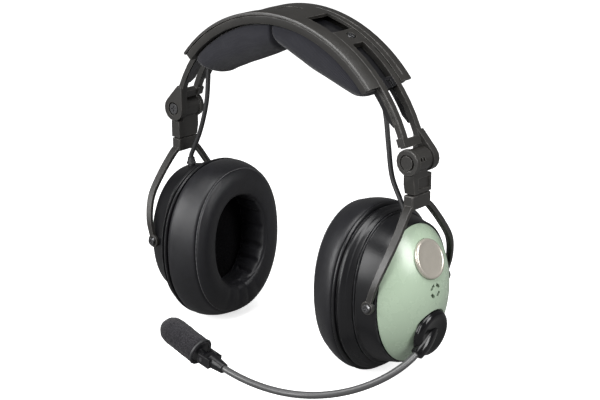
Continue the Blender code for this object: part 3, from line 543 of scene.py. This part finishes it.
def puff(piece, pressure, cap_mm, pinned):
    """Inflate a cushion as cloth: pinned points stay, and no point moves further than the cap."""
    rest = [vert.co.copy() for vert in piece.data.vertices]
    group = piece.vertex_groups.new(name="pinned")
    for vert in piece.data.vertices:
        group.add([vert.index], pinned(drawn(vert.co)), "REPLACE")
    cloth = piece.modifiers.new("Cloth", "CLOTH")
    settings = cloth.settings
    settings.quality = 6
    settings.mass = 0.3
    settings.tension_stiffness = 15
    settings.compression_stiffness = 15
    settings.bending_stiffness = 0.5
    settings.use_pressure = True
    settings.uniform_pressure_force = pressure
    settings.vertex_group_mass = "pinned"
    settings.effector_weights.gravity = 0
    scene = bpy.context.scene
    for step in range(1, CLOTH_FRAMES + 1):
        scene.frame_set(step)
    apply_modifiers(piece)
    scene.frame_set(1)
    for vert, start in zip(piece.data.vertices, rest):
        move = vert.co - start
        limit = cap_mm * MM
        if move.length > limit:
            vert.co = start + move.normalized() * limit
    piece.vertex_groups.clear()


def subdivide(piece, levels):
    step = piece.modifiers.new("Fine", "SUBSURF")
    step.levels = levels
    step.render_levels = levels
    apply_modifiers(piece)
    piece.data.shade_smooth()


def press(piece, depth):
    """Move each point of a piece along its own normal, by depth(point) metres."""
    normals = [vert.normal.copy() for vert in piece.data.vertices]
    moves = [depth(vert.co) for vert in piece.data.vertices]
    for vert, normal, move in zip(piece.data.vertices, normals, moves):
        vert.co += normal * move


def bell(value, middle, width):
    return math.exp(-((value - middle) / width) ** 2)


def cushion_share(point):
    """0 at the seam's oval and 1 at the ear hole's, for a drawn point on the +X side."""
    reach = (abs(point.y / CUSHION_HALF[0]) ** OVAL_POWER
             + abs(point.z / CUSHION_HALF[1]) ** OVAL_POWER) ** (1 / OVAL_POWER)
    return (1 - reach) / (1 - HOLE_HALF[0] / CUSHION_HALF[0])


def crease(point):
    """How far, in millimetres, the leather is drawn in at a point: the seam and the gathers."""
    share = cushion_share(point)
    turn = math.atan2(point.z, point.y)
    front = 1.0 if point.x < 56 else 0.0
    depth = 1.0 * bell(share, 0.0, 0.035) * front
    # a few folds run from the seam to the hole, low on the face
    for middle, width, strength in ((-1.95, 0.05, 0.55), (-1.72, 0.04, 0.8), (-1.5, 0.045, 0.7),
                                    (-1.25, 0.06, 0.5)):
        depth += strength * bell(turn, middle, width) * bell(share, 0.55, 0.42) * front
    depth += 0.55 * bell(share, 0.9, 0.025) * front
    # the hole's wall is gathered all round
    if share > 0.93:
        wall = min(1.0, max(0.0, (point.x - 49.0) / 6.0))
        gather = math.sin(turn * 15 + 2.0 * math.sin(turn * 3))
        depth += 1.35 * wall * max(0.0, gather) ** 2
    return depth


def make_ear_cushion(label, side):
    """A leatherette ring: flared wall, a seam round the face, and a gathered inner wall."""
    face = [(SEAM_X, 0.0), (48.6, 0.2), (47.2, 0.45), (47.5, 0.75), (49.4, 0.98),
            (55.0, 1.06), (64.0, 1.04), (70.6, 0.95), (70.8, 0.6)]
    wall = [(70.8, 43.0, 50.6, -1.3), (70.5, 46.2, 53.3, -1.5), (67.5, 47.3, 54.3, -1.5),
            (61.0, 45.4, 53.5, -1.0), (55.0, 42.4, 51.5, -0.4), (52.6, 41.0, 50.7, -0.15)]
    profile = []
    for x, share in face:
        half = [a + (b - a) * share for a, b in zip(CUSHION_HALF, HOLE_HALF)]
        profile.append((x, *half, 0.0))
    rings = [oval(x, (half_y, half_z), 112, rise=rise)
             for x, half_y, half_z, rise in smooth_curve(profile + wall, 4, closed=True)]
    name = f"ear_cushion_cover_{label}"
    piece = made(name, loft(rings, closed=True), "black_leather", side, smooth=180)

    def pinned(point):
        point = Vector((abs(point.x), point.y * side, point.z))
        seam = bell(cushion_share(point), 0.0, 0.05) if point.x < 56 else 0.0
        return max(seam, 1.0 if point.x > 68.5 else 0.0)

    puff(piece, 2.5, 1.6, pinned)
    subdivide(piece, 1)

    def depth(place):
        point = drawn(place)
        return -crease(Vector((point.x * side, point.y * side, point.z))) * MM

    press(piece, depth)
    stands_for(piece, f"ear_cup_{label}", f"ear_cushion_{label}")

    thread = tube(seam_path(), lambda t: 0.12 + 0.16 * abs(math.sin(t * math.pi * 96)), 8, True)
    stitches = made(f"ear_cushion_seam_{label}", thread, "black_leather", side, 60, THREAD)
    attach(stitches, f"ear_cup_{label}")


def seam_path():
    """The sewn line that sits in the crease round the cushion's face."""
    half = (CUSHION_HALF[0] - 0.45, CUSHION_HALF[1] - 0.45)
    return [Vector(p) for p in oval(SEAM_X + 0.15, half, 576)]


def make_head_pad(label, side):
    """One lobe of the head pad: crowned, soft-edged, thickest over the temple."""
    rings = []
    steps = 44
    first, last = 0.04 - 2.1 * side, (5.0 if side > 0 else 3.5)
    for i in range(steps + 1):
        angle = first + (PAD_END - 0.3 - first) * i / steps
        start = min(1.0, (angle - first) / 1.6)
        past = max(0.0, angle - (PAD_END - last)) / last
        flat = 0.0095 if side < 0 and angle > 21.0 else 0.0147
        edge = 77.8 + flat * (angle - 21.0) ** 2
        edge += (PAD_TOP_R - 3.4 - edge) * past ** 3
        edge += 0.5 * (1 - start) ** 2
        full = (1 - 0.7 * past ** 2) * (0.8 + 0.2 * start)
        half = PAD_HALF_WIDTH - 0.6 - 2.0 * past ** 2 - 0.4 * (1 - start) ** 2
        outline = [(-half + 1.6, PAD_TOP_R), (-half + 0.2, PAD_TOP_R - 1.0),
                   (-half, PAD_TOP_R - 2.4)]
        for k in range(17):
            share = -1 + k / 8
            depth = 3.6 * full * abs(share) ** 4 - 5.4 * full * (1 - share * share)
            outline.append((half * share, min(edge + depth, PAD_TOP_R - 2.6)))
        outline += [(half, PAD_TOP_R - 2.4), (half - 0.2, PAD_TOP_R - 1.0),
                    (half - 1.6, PAD_TOP_R)]
        outline += [(half * share, PAD_TOP_R) for share in (0.6, 0.2, -0.2, -0.6)]
        turn = math.radians(angle)
        rings.append([(r * math.sin(turn), y, BAND_Z + r * math.cos(turn)) for y, r in outline])
    piece = made(f"head_pad_cover_{label}", loft(rings), "pad_fabric", side, smooth=180)

    def pinned(point):
        radius = math.hypot(point.x, point.z - BAND_Z)
        return 1.0 if radius > PAD_TOP_R - 2.6 else 0.0

    puff(piece, 2.0, 1.4, pinned)
    subdivide(piece, 1)
    press(piece, lambda place: noise.noise(place / (14 * MM)) * 0.35 * MM)
    stands_for(piece, "headband", f"head_pad_{label}")


def make_muff():
    """The foam windscreen: a rounded capsule with a slightly uneven skin."""
    pin = drawn(JOINTS["mic_tilt"]["pos_m"])
    axis = (drawn(centre("mic_muff")) - pin).normalized()
    radius, start, end = 8.6, 5.2, 39.6
    profile = [(6.9, start), (7.3, start), (7.9, start + 0.6), (8.2, start + 1.6),
               (radius, start + 3.6)]
    profile += [(radius, start + 3.6 + 0.9 * i) for i in range(1, 24)]
    straight = profile[-1][1]
    for i in range(1, 15):
        turn = math.pi / 2 * i / 14
        profile.append((radius * math.cos(turn) if i < 14 else 0,
                        straight + (end - straight) * math.sin(turn)))
    profile = [(0, 20.4), (6.9, 20.4)] + profile
    piece = made("mic_muff_foam", turned(profile, pin, axis, 72), "black_foam", smooth=50)

    def lump(place):
        height = (drawn(place) - pin).dot(axis)
        outer = (drawn(place) - pin - axis * height).length > 7.2 or height > 25
        if not outer or height < start + 1:
            return 0.0
        return 0.28 * MM * noise.fractal(place / (2.2 * MM), 1.0, 2.0, 3)

    press(piece, lump)
    stands_for(piece, "microphone", "mic_muff")


def make_ear_scrim(label, side):
    """The foam at the bottom of the ear opening, gently domed."""
    half = (33.7, 43.2)
    rings = [oval(76.0, half, 72), oval(73.9, half, 72)]
    for i in range(1, 12):
        share = math.cos(math.pi / 2 * i / 12)
        rise = 0.9 * math.sin(math.pi / 2 * i / 12)
        rings.append(oval(73.6 - rise, (half[0] * share, half[1] * share), 72))
    rings.append([(72.7, 0, 0)])
    # the scrim's darker foam is painted shade
    piece = made(f"ear_scrim_foam_{label}", loft(rings), "black_foam", side, 60, SCRIM_PAINTED_SHADE)
    stands_for(piece, f"ear_cup_{label}", f"ear_scrim_{label}")


# ---------------------------------------------------------------- covers

def dome_x(share, wall=0.0):
    return DOME_LOW.x + (DOME_HEIGHT - wall) * (1 - share ** 2) ** DOME_POWER


def vent_slots(centre_z):
    reach = centre_z / DOME_HALF[1]
    middle = Vector((dome_x(reach), 0, centre_z))
    slope = (dome_x(reach + 0.01) - dome_x(reach - 0.01)) / (0.02 * DOME_HALF[1])
    axis = Vector((1, 0, -slope)).normalized()
    first, second = across(axis)
    slots = []
    for quarter in range(4):
        rings = []
        for k in range(9):
            turn = math.radians(quarter * 90 + 17 + 7 * k)
            way = first * math.cos(turn) + second * math.sin(turn)
            rings.append([middle + way * radius + axis * height
                          for radius, height in ((2.8, -5), (4.7, -5), (4.7, 3), (2.8, 3))])
        slots.append(loft(rings))
    return slots


def make_dome(label, side):
    """The green cover: a smooth oval dome with a disc seat, four vent arcs and the boom's well."""
    shares = [math.sin(math.pi / 2 * i / 26) for i in range(1, 27)]
    rings = [[(DOME_LOW.x + DOME_HEIGHT, 0, 0)]]
    rings += [oval(dome_x(share), [half * share for half in DOME_HALF], 128, 2.0)
              for share in shares]
    inner = [half - DOME_WALL for half in DOME_HALF]
    rings += [oval(dome_x(share, DOME_WALL), [half * share for half in inner], 128, 2.0)
              for share in reversed(shares[1::4])]
    piece = made(f"dome_shell_{label}", loft(rings), "sage_green_plastic", side)
    face = MOUNTS["emblem_face_left"]
    spot, axis = drawn(face["pos_m"]), Vector(face["axis"]).normalized()
    shapes = [turned([(0, -2.5), (BADGE_R + 0.3, -2.5), (BADGE_R + 0.3, 4), (0, 4)], spot, axis)]
    shapes += vent_slots(5.4)
    if side > 0:
        shapes.append(turned([(0, 0), (HUB_R + 0.9, 0), (HUB_R + 0.9, 14), (0, 14)],
                             HUB_POINT, HUB_AXIS))
    cut(piece, shapes, side)
    stands_for(piece, f"ear_cup_{label}", f"dome_cover_{label}")


def make_knob():
    """The glossy hub: a shallow dished disc with the boom's barrel rising out of it."""
    profile = [(0, 0.3), (HUB_R - 0.3, 0.3), (HUB_R, 0.7), (HUB_R, 2.2), (14.8, 2.9),
               (14.3, 3.7), (13.5, 4.4), (12.4, 4.85), (11.4, 4.9), (10.4, 4.7), (8.0, 4.2),
               (5.0, 3.9), (2.5, 3.8), (0, 3.8)]
    knob = made("hub_disc", turned(profile, HUB_POINT, HUB_AXIS, 96), "gloss_black_plastic")
    socket = HUB_POINT + HUB_AXIS * SOCKET_HEIGHT
    out, cross = boom_out(), HUB_AXIS.cross(boom_out())
    rings = []
    for along, half, height in ((-4.5, 0.5, 0.2), (-3.8, 1.8, 0.7), (-1.5, 3.2, 1.6),
                                (2.0, 4.2, 2.7), (6.0, 4.6, 3.7), (10.0, 4.5, 4.3),
                                (16.6, 3.9, 4.2), (17.2, 3.7, 4.0), (17.4, 3.3, 3.6)):
        middle = socket + out * along + HUB_AXIS * 0.3
        turns = [2 * math.pi * k / 40 for k in range(40)]
        rings.append([middle + cross * half * math.cos(t) + HUB_AXIS * height * math.sin(t)
                      for t in turns])
    barrel = made("hub_barrel", loft(rings), "gloss_black_plastic")
    cut(barrel, [turned([(0, 9.0), (BOOM_R + 0.2, 9.0), (BOOM_R + 0.2, 20), (0, 20)],
                        socket, out)], 1)
    cut(knob, [turned([(0, -1), (2.6, -1), (2.6, 3.4), (0, 3.4)], HUB_POINT, HUB_AXIS)], 1)
    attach(barrel, "boom_base")
    stands_for(knob, "boom_base", "boom_knob")


def make_yoke(label, side):
    """The block under the swivel and its two channelled arms down to the cup's pivots."""
    hinge = drawn(JOINTS["fold_left"]["pos_m"])
    pivot = drawn(JOINTS["tilt_left"]["pos_m"])
    low, high = 55.6, 64.3
    rings = []
    for z, edge in ((low, 0.5), (low + 0.5, 0.0), (high - 0.4, 0.0), (high, 0.4)):
        x0, x1, y = hinge.x - 3.4 + edge, hinge.x + 3.6 - edge, 9.0 - edge
        rings.append([(x0, -y + 0.5, z), (x0 + 0.5, -y, z), (x1 - 0.5, -y, z), (x1, -y + 0.5, z),
                      (x1, y - 0.5, z), (x1 - 0.5, y, z), (x0 + 0.5, y, z), (x0, y - 0.5, z)])
    yoke = made(f"yoke_arms_{label}", loft(rings), "satin_grey_plastic", side)
    down = smooth_curve([(99.2, 5.0, 58.6), (99.8, 11.0, 54.6), (101.0, 22.0, 41.5),
                         (100.4, 31.6, 28.5), (97.0, 37.2, 14.5), (93.2, 38.3, 2.4)], 8)
    for end in (1, -1):
        rings = []
        for i, point in enumerate(down):
            along = down[min(i + 1, len(down) - 1)] - down[max(i - 1, 0)]
            normal = Vector((0, -along.z, along.y)).normalized()
            share = i / (len(down) - 1)
            wide, thick = 2.9 - 0.8 * share, 1.5 - 0.35 * share
            deep = 1 - 0.3 * min(1.0, 6 * share, 6 * (1 - share))
            corners = ((1, 0.6), (0.9, 1), (0.45, 1), (0.3, deep), (-0.3, deep), (-0.45, 1),
                       (-0.9, 1), (-1, 0.6), (-1, -0.6), (-0.9, -1), (0.9, -1), (1, -0.6))
            rings.append([(p.x, p.y * end, p.z) for p in
                          (point + OUTWARD * wide * a - normal * thick * b for a, b in corners)])
        arm = made("arm", loft(rings), "satin_grey_plastic", side)
        eye = turned([(0, 37.2), (3.9, 37.2), (4.2, 37.5), (4.2, 39.1), (3.9, 39.4), (0, 39.4)],
                     (pivot.x, 0, pivot.z), (0, end, 0), 48)
        for shape in (arm, made("eye", eye, "satin_grey_plastic", side)):
            step = yoke.modifiers.new("Join", "BOOLEAN")
            step.operation = "UNION"
            step.solver = "EXACT"
            step.object = shape
            apply_modifiers(yoke)
            bpy.data.objects.remove(shape)
    well = turned([(0, low - 4), (3.1, low - 4), (3.1, low + 2.7), (2.2, low + 2.7),
                   (2.2, high + 1), (0, high + 1)], (hinge.x, 0, 0), UP)
    bores = [turned([(0, 36), (1.65, 36), (1.65, 41), (0, 41)], (pivot.x, 0, pivot.z),
                    (0, end, 0)) for end in (1, -1)]
    cut(yoke, [well] + bores, side)
    stands_for(yoke, f"yoke_assembly_{label}", f"yoke_{label}")


def inset(half, amount):
    return (half[0] - amount, half[1] - amount)


def make_cup_shell(label, side):
    """The cup's wall: a rounded lip, a step, and a smooth taper to the dome's gap."""
    outer = [(77.0, (38.2, 47.4)), (77.15, (38.8, 48.0)), (77.5, (39.0, 48.2)),
             (81.9, (39.4, 48.6)), (82.3, (39.5, 48.7)), (82.7, (39.2, 48.4)),
             (83.0, (38.2, 47.3)), (86.0, (37.7, 46.7)), (89.0, (37.2, 46.1)),
             (92.0, (36.6, 45.4)), (95.4, (35.9, 44.8)), (96.2, (35.6, 44.5)),
             (96.5, (35.1, 44.1))]
    inner = [(x, inset(half, SHELL_WALL)) for x, half in reversed(outer[1::5])]
    rings = [oval(x, half, 144) for x, half in outer + inner]
    piece = made(f"cup_wall_{label}", loft(rings, closed=True), "black_plastic", side)
    pivot = drawn(JOINTS["tilt_left"]["pos_m"])
    bore = [turned([(0, 32), (1.6, 32), (1.6, 40), (0, 40)], (pivot.x, 0, pivot.z), (0, end, 0))
            for end in (1, -1)]
    entry = turned([(0, 38), (2.7, 38), (2.7, 50), (0, 50)], (GROMMET_X, CABLE_Y * side, 0), UP)
    cut(piece, bore + [entry], side)
    stands_for(piece, f"ear_cup_{label}", f"cup_shell_{label}")
    for end in (1, -1):
        profile = [(1.6, 33.4), (3.7, 33.4), (3.7, 38.6), (3.4, 38.9), (1.6, 38.9)]
        boss = turned(profile, (pivot.x, 0, pivot.z), (0, end, 0), 48, closed=True)
        name = f"pivot_boss_{'rear' if end > 0 else 'front'}_{label}"
        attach(made(name, boss, "black_plastic", side), f"ear_cup_{label}")


def make_flange(label, side):
    """The cushion plate: a rounded rim, a dark groove, and a shoulder down to the shell."""
    rim = [(FLANGE_X, (46.6, 53.2), -1.5), (71.8, (47.2, 53.8), -1.5), (72.3, (47.6, 54.1), -1.5),
           (73.0, (47.5, 53.9), -1.5), (73.3, (47.2, 53.6), -1.5), (73.5, (45.0, 51.4), -1.3),
           (75.5, (44.8, 51.1), -1.2), (75.7, (46.2, 52.1), -1.2), (76.0, (46.5, 52.3), -1.2),
           (76.5, (46.4, 52.1), -1.1), (77.6, (45.4, 51.2), -1.0), (78.6, (43.6, 50.4), -0.7),
           (79.2, (43.3, 50.3), -0.6), (79.5, (43.0, 50.1), -0.5), (80.6, (41.2, 49.4), -0.2),
           (81.2, (40.2, 49.0), 0.0), (81.4, (39.8, 48.8), 0.0)]
    collar = (39.4, 48.6)
    rings = [oval(FLANGE_X, FLANGE_OPENING, 144)]
    rings += [oval(x, half, 144, rise=rise) for x, half, rise in rim]
    rings += [oval(81.3, collar, 144), oval(FLANGE_STEP_X, collar, 144),
              oval(FLANGE_STEP_X, FLANGE_OPENING, 144)]
    shape = loft(rings, closed=True)
    piece = made(f"cushion_flange_{label}", shape, "black_plastic", side)
    stands_for(piece, f"ear_cup_{label}", f"cushion_plate_{label}")


def make_badge(label, side):
    """A plain metal disc with a rolled rim."""
    face = MOUNTS["emblem_face_left"]
    spot, axis = drawn(face["pos_m"]), Vector(face["axis"]).normalized()
    profile = [(0, -2.2), (BADGE_R, -2.2), (BADGE_R, -0.9), (12.3, -0.4), (11.9, -0.05),
               (11.4, 0.1), (10.9, 0.05), (10.6, -0.15), (10.4, -0.2), (6.0, -0.1), (0, -0.05)]
    piece = made(f"badge_disc_{label}", turned(profile, spot, axis, 96), "badge_silver", side)
    stands_for(piece, f"ear_cup_{label}", f"badge_{label}")


def arc(section, start, end, step=1.0):
    """Sweep (y, radius) points along the band. The section may be a function of the angle."""
    count = max(1, round(abs(end - start) / step))
    rings = []
    for i in range(count + 1):
        angle = start + (end - start) * i / count
        turn = math.radians(angle)
        rings.append([(radius * math.sin(turn), y, BAND_Z + radius * math.cos(turn))
                      for y, radius in (section(angle) if callable(section) else section)])
    return loft(rings)


def arc_block(y_low, y_high, r_low, r_high, start, end):
    return arc([(y_low, r_low), (y_high, r_low), (y_high, r_high), (y_low, r_high)], start, end)


def make_band():
    """The cover with its two channels and crease, and the tray under it."""
    top, bottom, half, end = COVER_R, COVER_R - 2.0, 20.3, 49.2

    def section(angle):
        low = top - (0.6 if 4.0 < angle < end - 3 else 0.0)
        return [(-half, bottom), (half, bottom), (half, top - 0.7), (half - 0.2, top - 0.25),
                (half - 0.7, top), (14.4, top), (14.2, low), (13.8, low), (13.6, top),
                (-half + 0.7, top), (-half + 0.2, top - 0.25), (-half, top - 0.7)]

    cover = made("cover_shell", arc(section, -end, end), "satin_grey_plastic", smooth=30)
    shapes = [arc_block(2.2, 4.9, bottom - 3, top + 3, -4.9, 2.2),
              arc_block(-4.8, 4.5, bottom - 3, top + 3, -6.2, -3.9)]
    shapes += [arc_block(-9.9, 9.9, bottom - 3, top + 3, way * 11.0, way * (end + 2))
               for way in (1, -1)]
    cut(cover, shapes, 1)
    stands_for(cover, "headband", "band_cover")
    half, bottom, floor, rim = 20.0, 95.4, 97.2, COVER_R - 2.3
    inner = half - 2.4
    section = [(-half, bottom + 1.0), (-half + 0.3, bottom + 0.3), (-half + 1.0, bottom),
               (half - 1.0, bottom), (half - 0.3, bottom + 0.3), (half, bottom + 1.0),
               (half, rim - 0.3), (half - 0.3, rim), (inner, rim), (inner, floor),
               (-inner, floor), (-inner, rim), (-half + 0.3, rim), (-half, rim - 0.3)]
    tray = made("tray_shell", arc(section, -48.6, 48.6), "satin_grey_plastic")
    stands_for(tray, "headband", "band_tray")


# ---------------------------------------------------------------- cables and boom

def cable_path(side):
    """The crossover cable from under the band's end to its grommet on the cup."""
    turn = math.radians(49.6)
    y = CABLE_Y * side
    start = (95.5 * math.sin(turn), y, BAND_Z + 95.5 * math.cos(turn))
    bow = 3.0 if side > 0 else 0.0
    return smooth_curve([start, (73.4 + bow, y, 108.0), (75.6 + bow, y, 91.0), (81.6, y, 72.0),
                         (88.2, y, 58.5), (GROMMET_X, y, 52.0), (GROMMET_X, y, 43.5)], 14)


def make_cables(label, side):
    """Four lengths of one tube that meet end to end."""
    path = cable_path(side)
    count = len(path) - 1
    marks = [0, round(count * 0.2), round(count * 0.52), round(count * 0.72), count]
    for i, (first, last) in enumerate(zip(marks, marks[1:])):
        stretch = path[first:last + 1]
        piece = made(f"crossover_cable_{label}_{i + 1}", tube(stretch, CABLE_R), "cable_rubber",
                     side, smooth=60)
        margin = max(1, (last - first) // 8)
        placed(stretch[margin], side)
        placed(stretch[-1 - margin], side)
        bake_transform(piece)
        if i == 3:
            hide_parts(f"crossover_cable_{label}")


def boom_out():
    """The way the boom leaves its hub: forward and down."""
    dip = math.radians(32.5)
    down = Vector((HUB_AXIS.z, 0, -HUB_AXIS.x))
    return -FORE_AFT * math.cos(dip) + down * math.sin(dip)


def make_boom():
    """The gooseneck: one round tube along a smooth curve."""
    rise = math.radians(13.8)
    out = boom_out()
    socket = HUB_POINT + HUB_AXIS * SOCKET_HEIGHT
    arrive = Vector((-math.cos(rise), 0, math.sin(rise)))
    start = socket + out * 15.5
    end = drawn(JOINTS["mic_tilt"]["pos_m"]) - arrive * 10.0
    p1, p2 = start + out * 26.3, end - arrive * 75.0
    path = [socket + out * 9.6, socket + out * 12.5]
    steps = 72
    for i in range(steps + 1):
        t, s = i / steps, 1 - i / steps
        path.append(start * s ** 3 + p1 * 3 * s * s * t + p2 * 3 * s * t * t + end * t ** 3)
    piece = made("boom_gooseneck", tube(path, BOOM_R, 24), "cable_rubber", 1, 60, SLEEVE)
    flex = 2 + steps // 2
    placed(path[flex - 9])
    placed(path[flex + 9])
    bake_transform(piece)
    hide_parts("boom_tube_base", "boom_tube_tip")


# ---------------------------------------------------------------- frame pieces

def dress_frame():
    """Give every CAD node its slot's material and softened edges."""
    slots = {part["node"]: part["material_slot"] for part in frame["record"]["subparts"]}
    for name, node in frame["nodes"].items():
        node.data.materials.clear()
        node.data.materials.append(LOOKS[slots[name]])
        weld = node.modifiers.new("Weld", "WELD")
        weld.merge_threshold = 0.00001
        node.data.shade_smooth()
        smooth = node.modifiers.new("Facets", "EDGE_SPLIT")
        smooth.split_angle = math.radians(38)


# ---------------------------------------------------------------- studio

CAMERA_TARGET = placed((4.97, 0.0, 40.15))
CAMERA_DISTANCE = 0.9984
CAMERA_AZIMUTH = math.radians(41.71)
CAMERA_ELEVATION = math.radians(17.79)
CAMERA_ROLL = math.radians(-0.27)
CAMERA_LENS = 93.4


AMBIENT = 0.14
FLOOR_BOUNCE = 0.2
FLOOR_GLOW = 0.72
# name, azimuth, elevation, distance, size and power of each soft light
LAMPS = (("key", -30, 24, 1.3, (0.7, 0.8), 13.0),
         ("front", 10, 20, 1.3, (0.4, 0.9), 9.0),
         ("top", 60, 72, 1.2, (1.0, 0.8), 13.0),
         ("side", 96, 28, 1.2, (0.45, 0.7), 9.5))


def toward(azimuth, elevation):
    """The unit vector from the object to a viewer, azimuth 0 in front of the wearer's face."""
    return Vector((math.sin(azimuth) * math.cos(elevation),
                   -math.cos(azimuth) * math.cos(elevation), math.sin(elevation)))


def make_camera():
    camera = bpy.data.objects.new("camera", bpy.data.cameras.new("camera"))
    camera.data.lens = CAMERA_LENS
    camera.data.sensor_width = 36.0
    way = toward(CAMERA_AZIMUTH, CAMERA_ELEVATION)
    camera.location = CAMERA_TARGET + way * CAMERA_DISTANCE
    camera.rotation_euler = way.to_track_quat("Z", "Y").to_euler()
    camera.rotation_euler.rotate_axis("Z", CAMERA_ROLL)
    bpy.context.scene.collection.objects.link(camera)
    bpy.context.scene.camera = camera


def make_light(name, azimuth, elevation, distance, size, power):
    light = bpy.data.lights.new(name, "AREA")
    light.shape = "RECTANGLE"
    light.size, light.size_y = size
    light.energy = power
    lamp = bpy.data.objects.new(name, light)
    way = toward(math.radians(azimuth), math.radians(elevation))
    lamp.location = CAMERA_TARGET + way * distance
    lamp.rotation_euler = way.to_track_quat("Z", "Y").to_euler()
    bpy.context.scene.collection.objects.link(lamp)


def camera_only(tree, seen, others):
    """A mix factor: one value for what the camera sees directly, another for all other rays."""
    path = tree.nodes.new("ShaderNodeLightPath")
    mix = tree.nodes.new("ShaderNodeMapRange")
    tree.links.new(path.outputs["Is Camera Ray"], mix.inputs["Value"])
    mix.inputs["To Min"].default_value = others
    mix.inputs["To Max"].default_value = seen
    return mix.outputs["Result"]


def make_studio():
    mesh = bpy.data.meshes.new("floor")
    size, drop = 4.0, -0.0005
    mesh.from_pydata([(-size, -size, drop), (size, -size, drop), (size, size, drop),
                      (-size, size, drop)], [], [(0, 1, 2, 3)])
    floor = bpy.data.objects.new("floor", mesh)
    bpy.context.scene.collection.objects.link(floor)
    pale = Finish("pale_floor", (0.86, 0.86, 0.86), 0.8)
    pale.link(camera_only(pale.tree, 0.86, FLOOR_BOUNCE), pale.shader.inputs["Base Color"])
    pale.link(camera_only(pale.tree, FLOOR_GLOW, 0.0), pale.shader.inputs["Emission Strength"])
    mesh.materials.append(pale.done(Specular_IOR_Level=0.0, Emission_Color=(1, 1, 1, 1)))
    world = bpy.data.worlds.new("studio")
    bpy.context.scene.world = world
    world.use_nodes = True
    background = world.node_tree.nodes["Background"]
    background.inputs["Color"].default_value = (1.0, 1.0, 1.0, 1.0)
    world.node_tree.links.new(camera_only(world.node_tree, 1.0, AMBIENT),
                              background.inputs["Strength"])
    for lamp in LAMPS:
        make_light(*lamp)
    bpy.context.scene.view_settings.view_transform = "Standard"


# ---------------------------------------------------------------- assembly

dress_frame()
for label, side in SIDES:
    make_ear_cushion(label, side)
    make_head_pad(label, side)
    make_ear_scrim(label, side)
    make_dome(label, side)
    make_badge(label, side)
    make_cup_shell(label, side)
    make_flange(label, side)
    make_yoke(label, side)
    make_cables(label, side)
make_band()
make_knob()
make_muff()
make_boom()
make_camera()
make_studio()
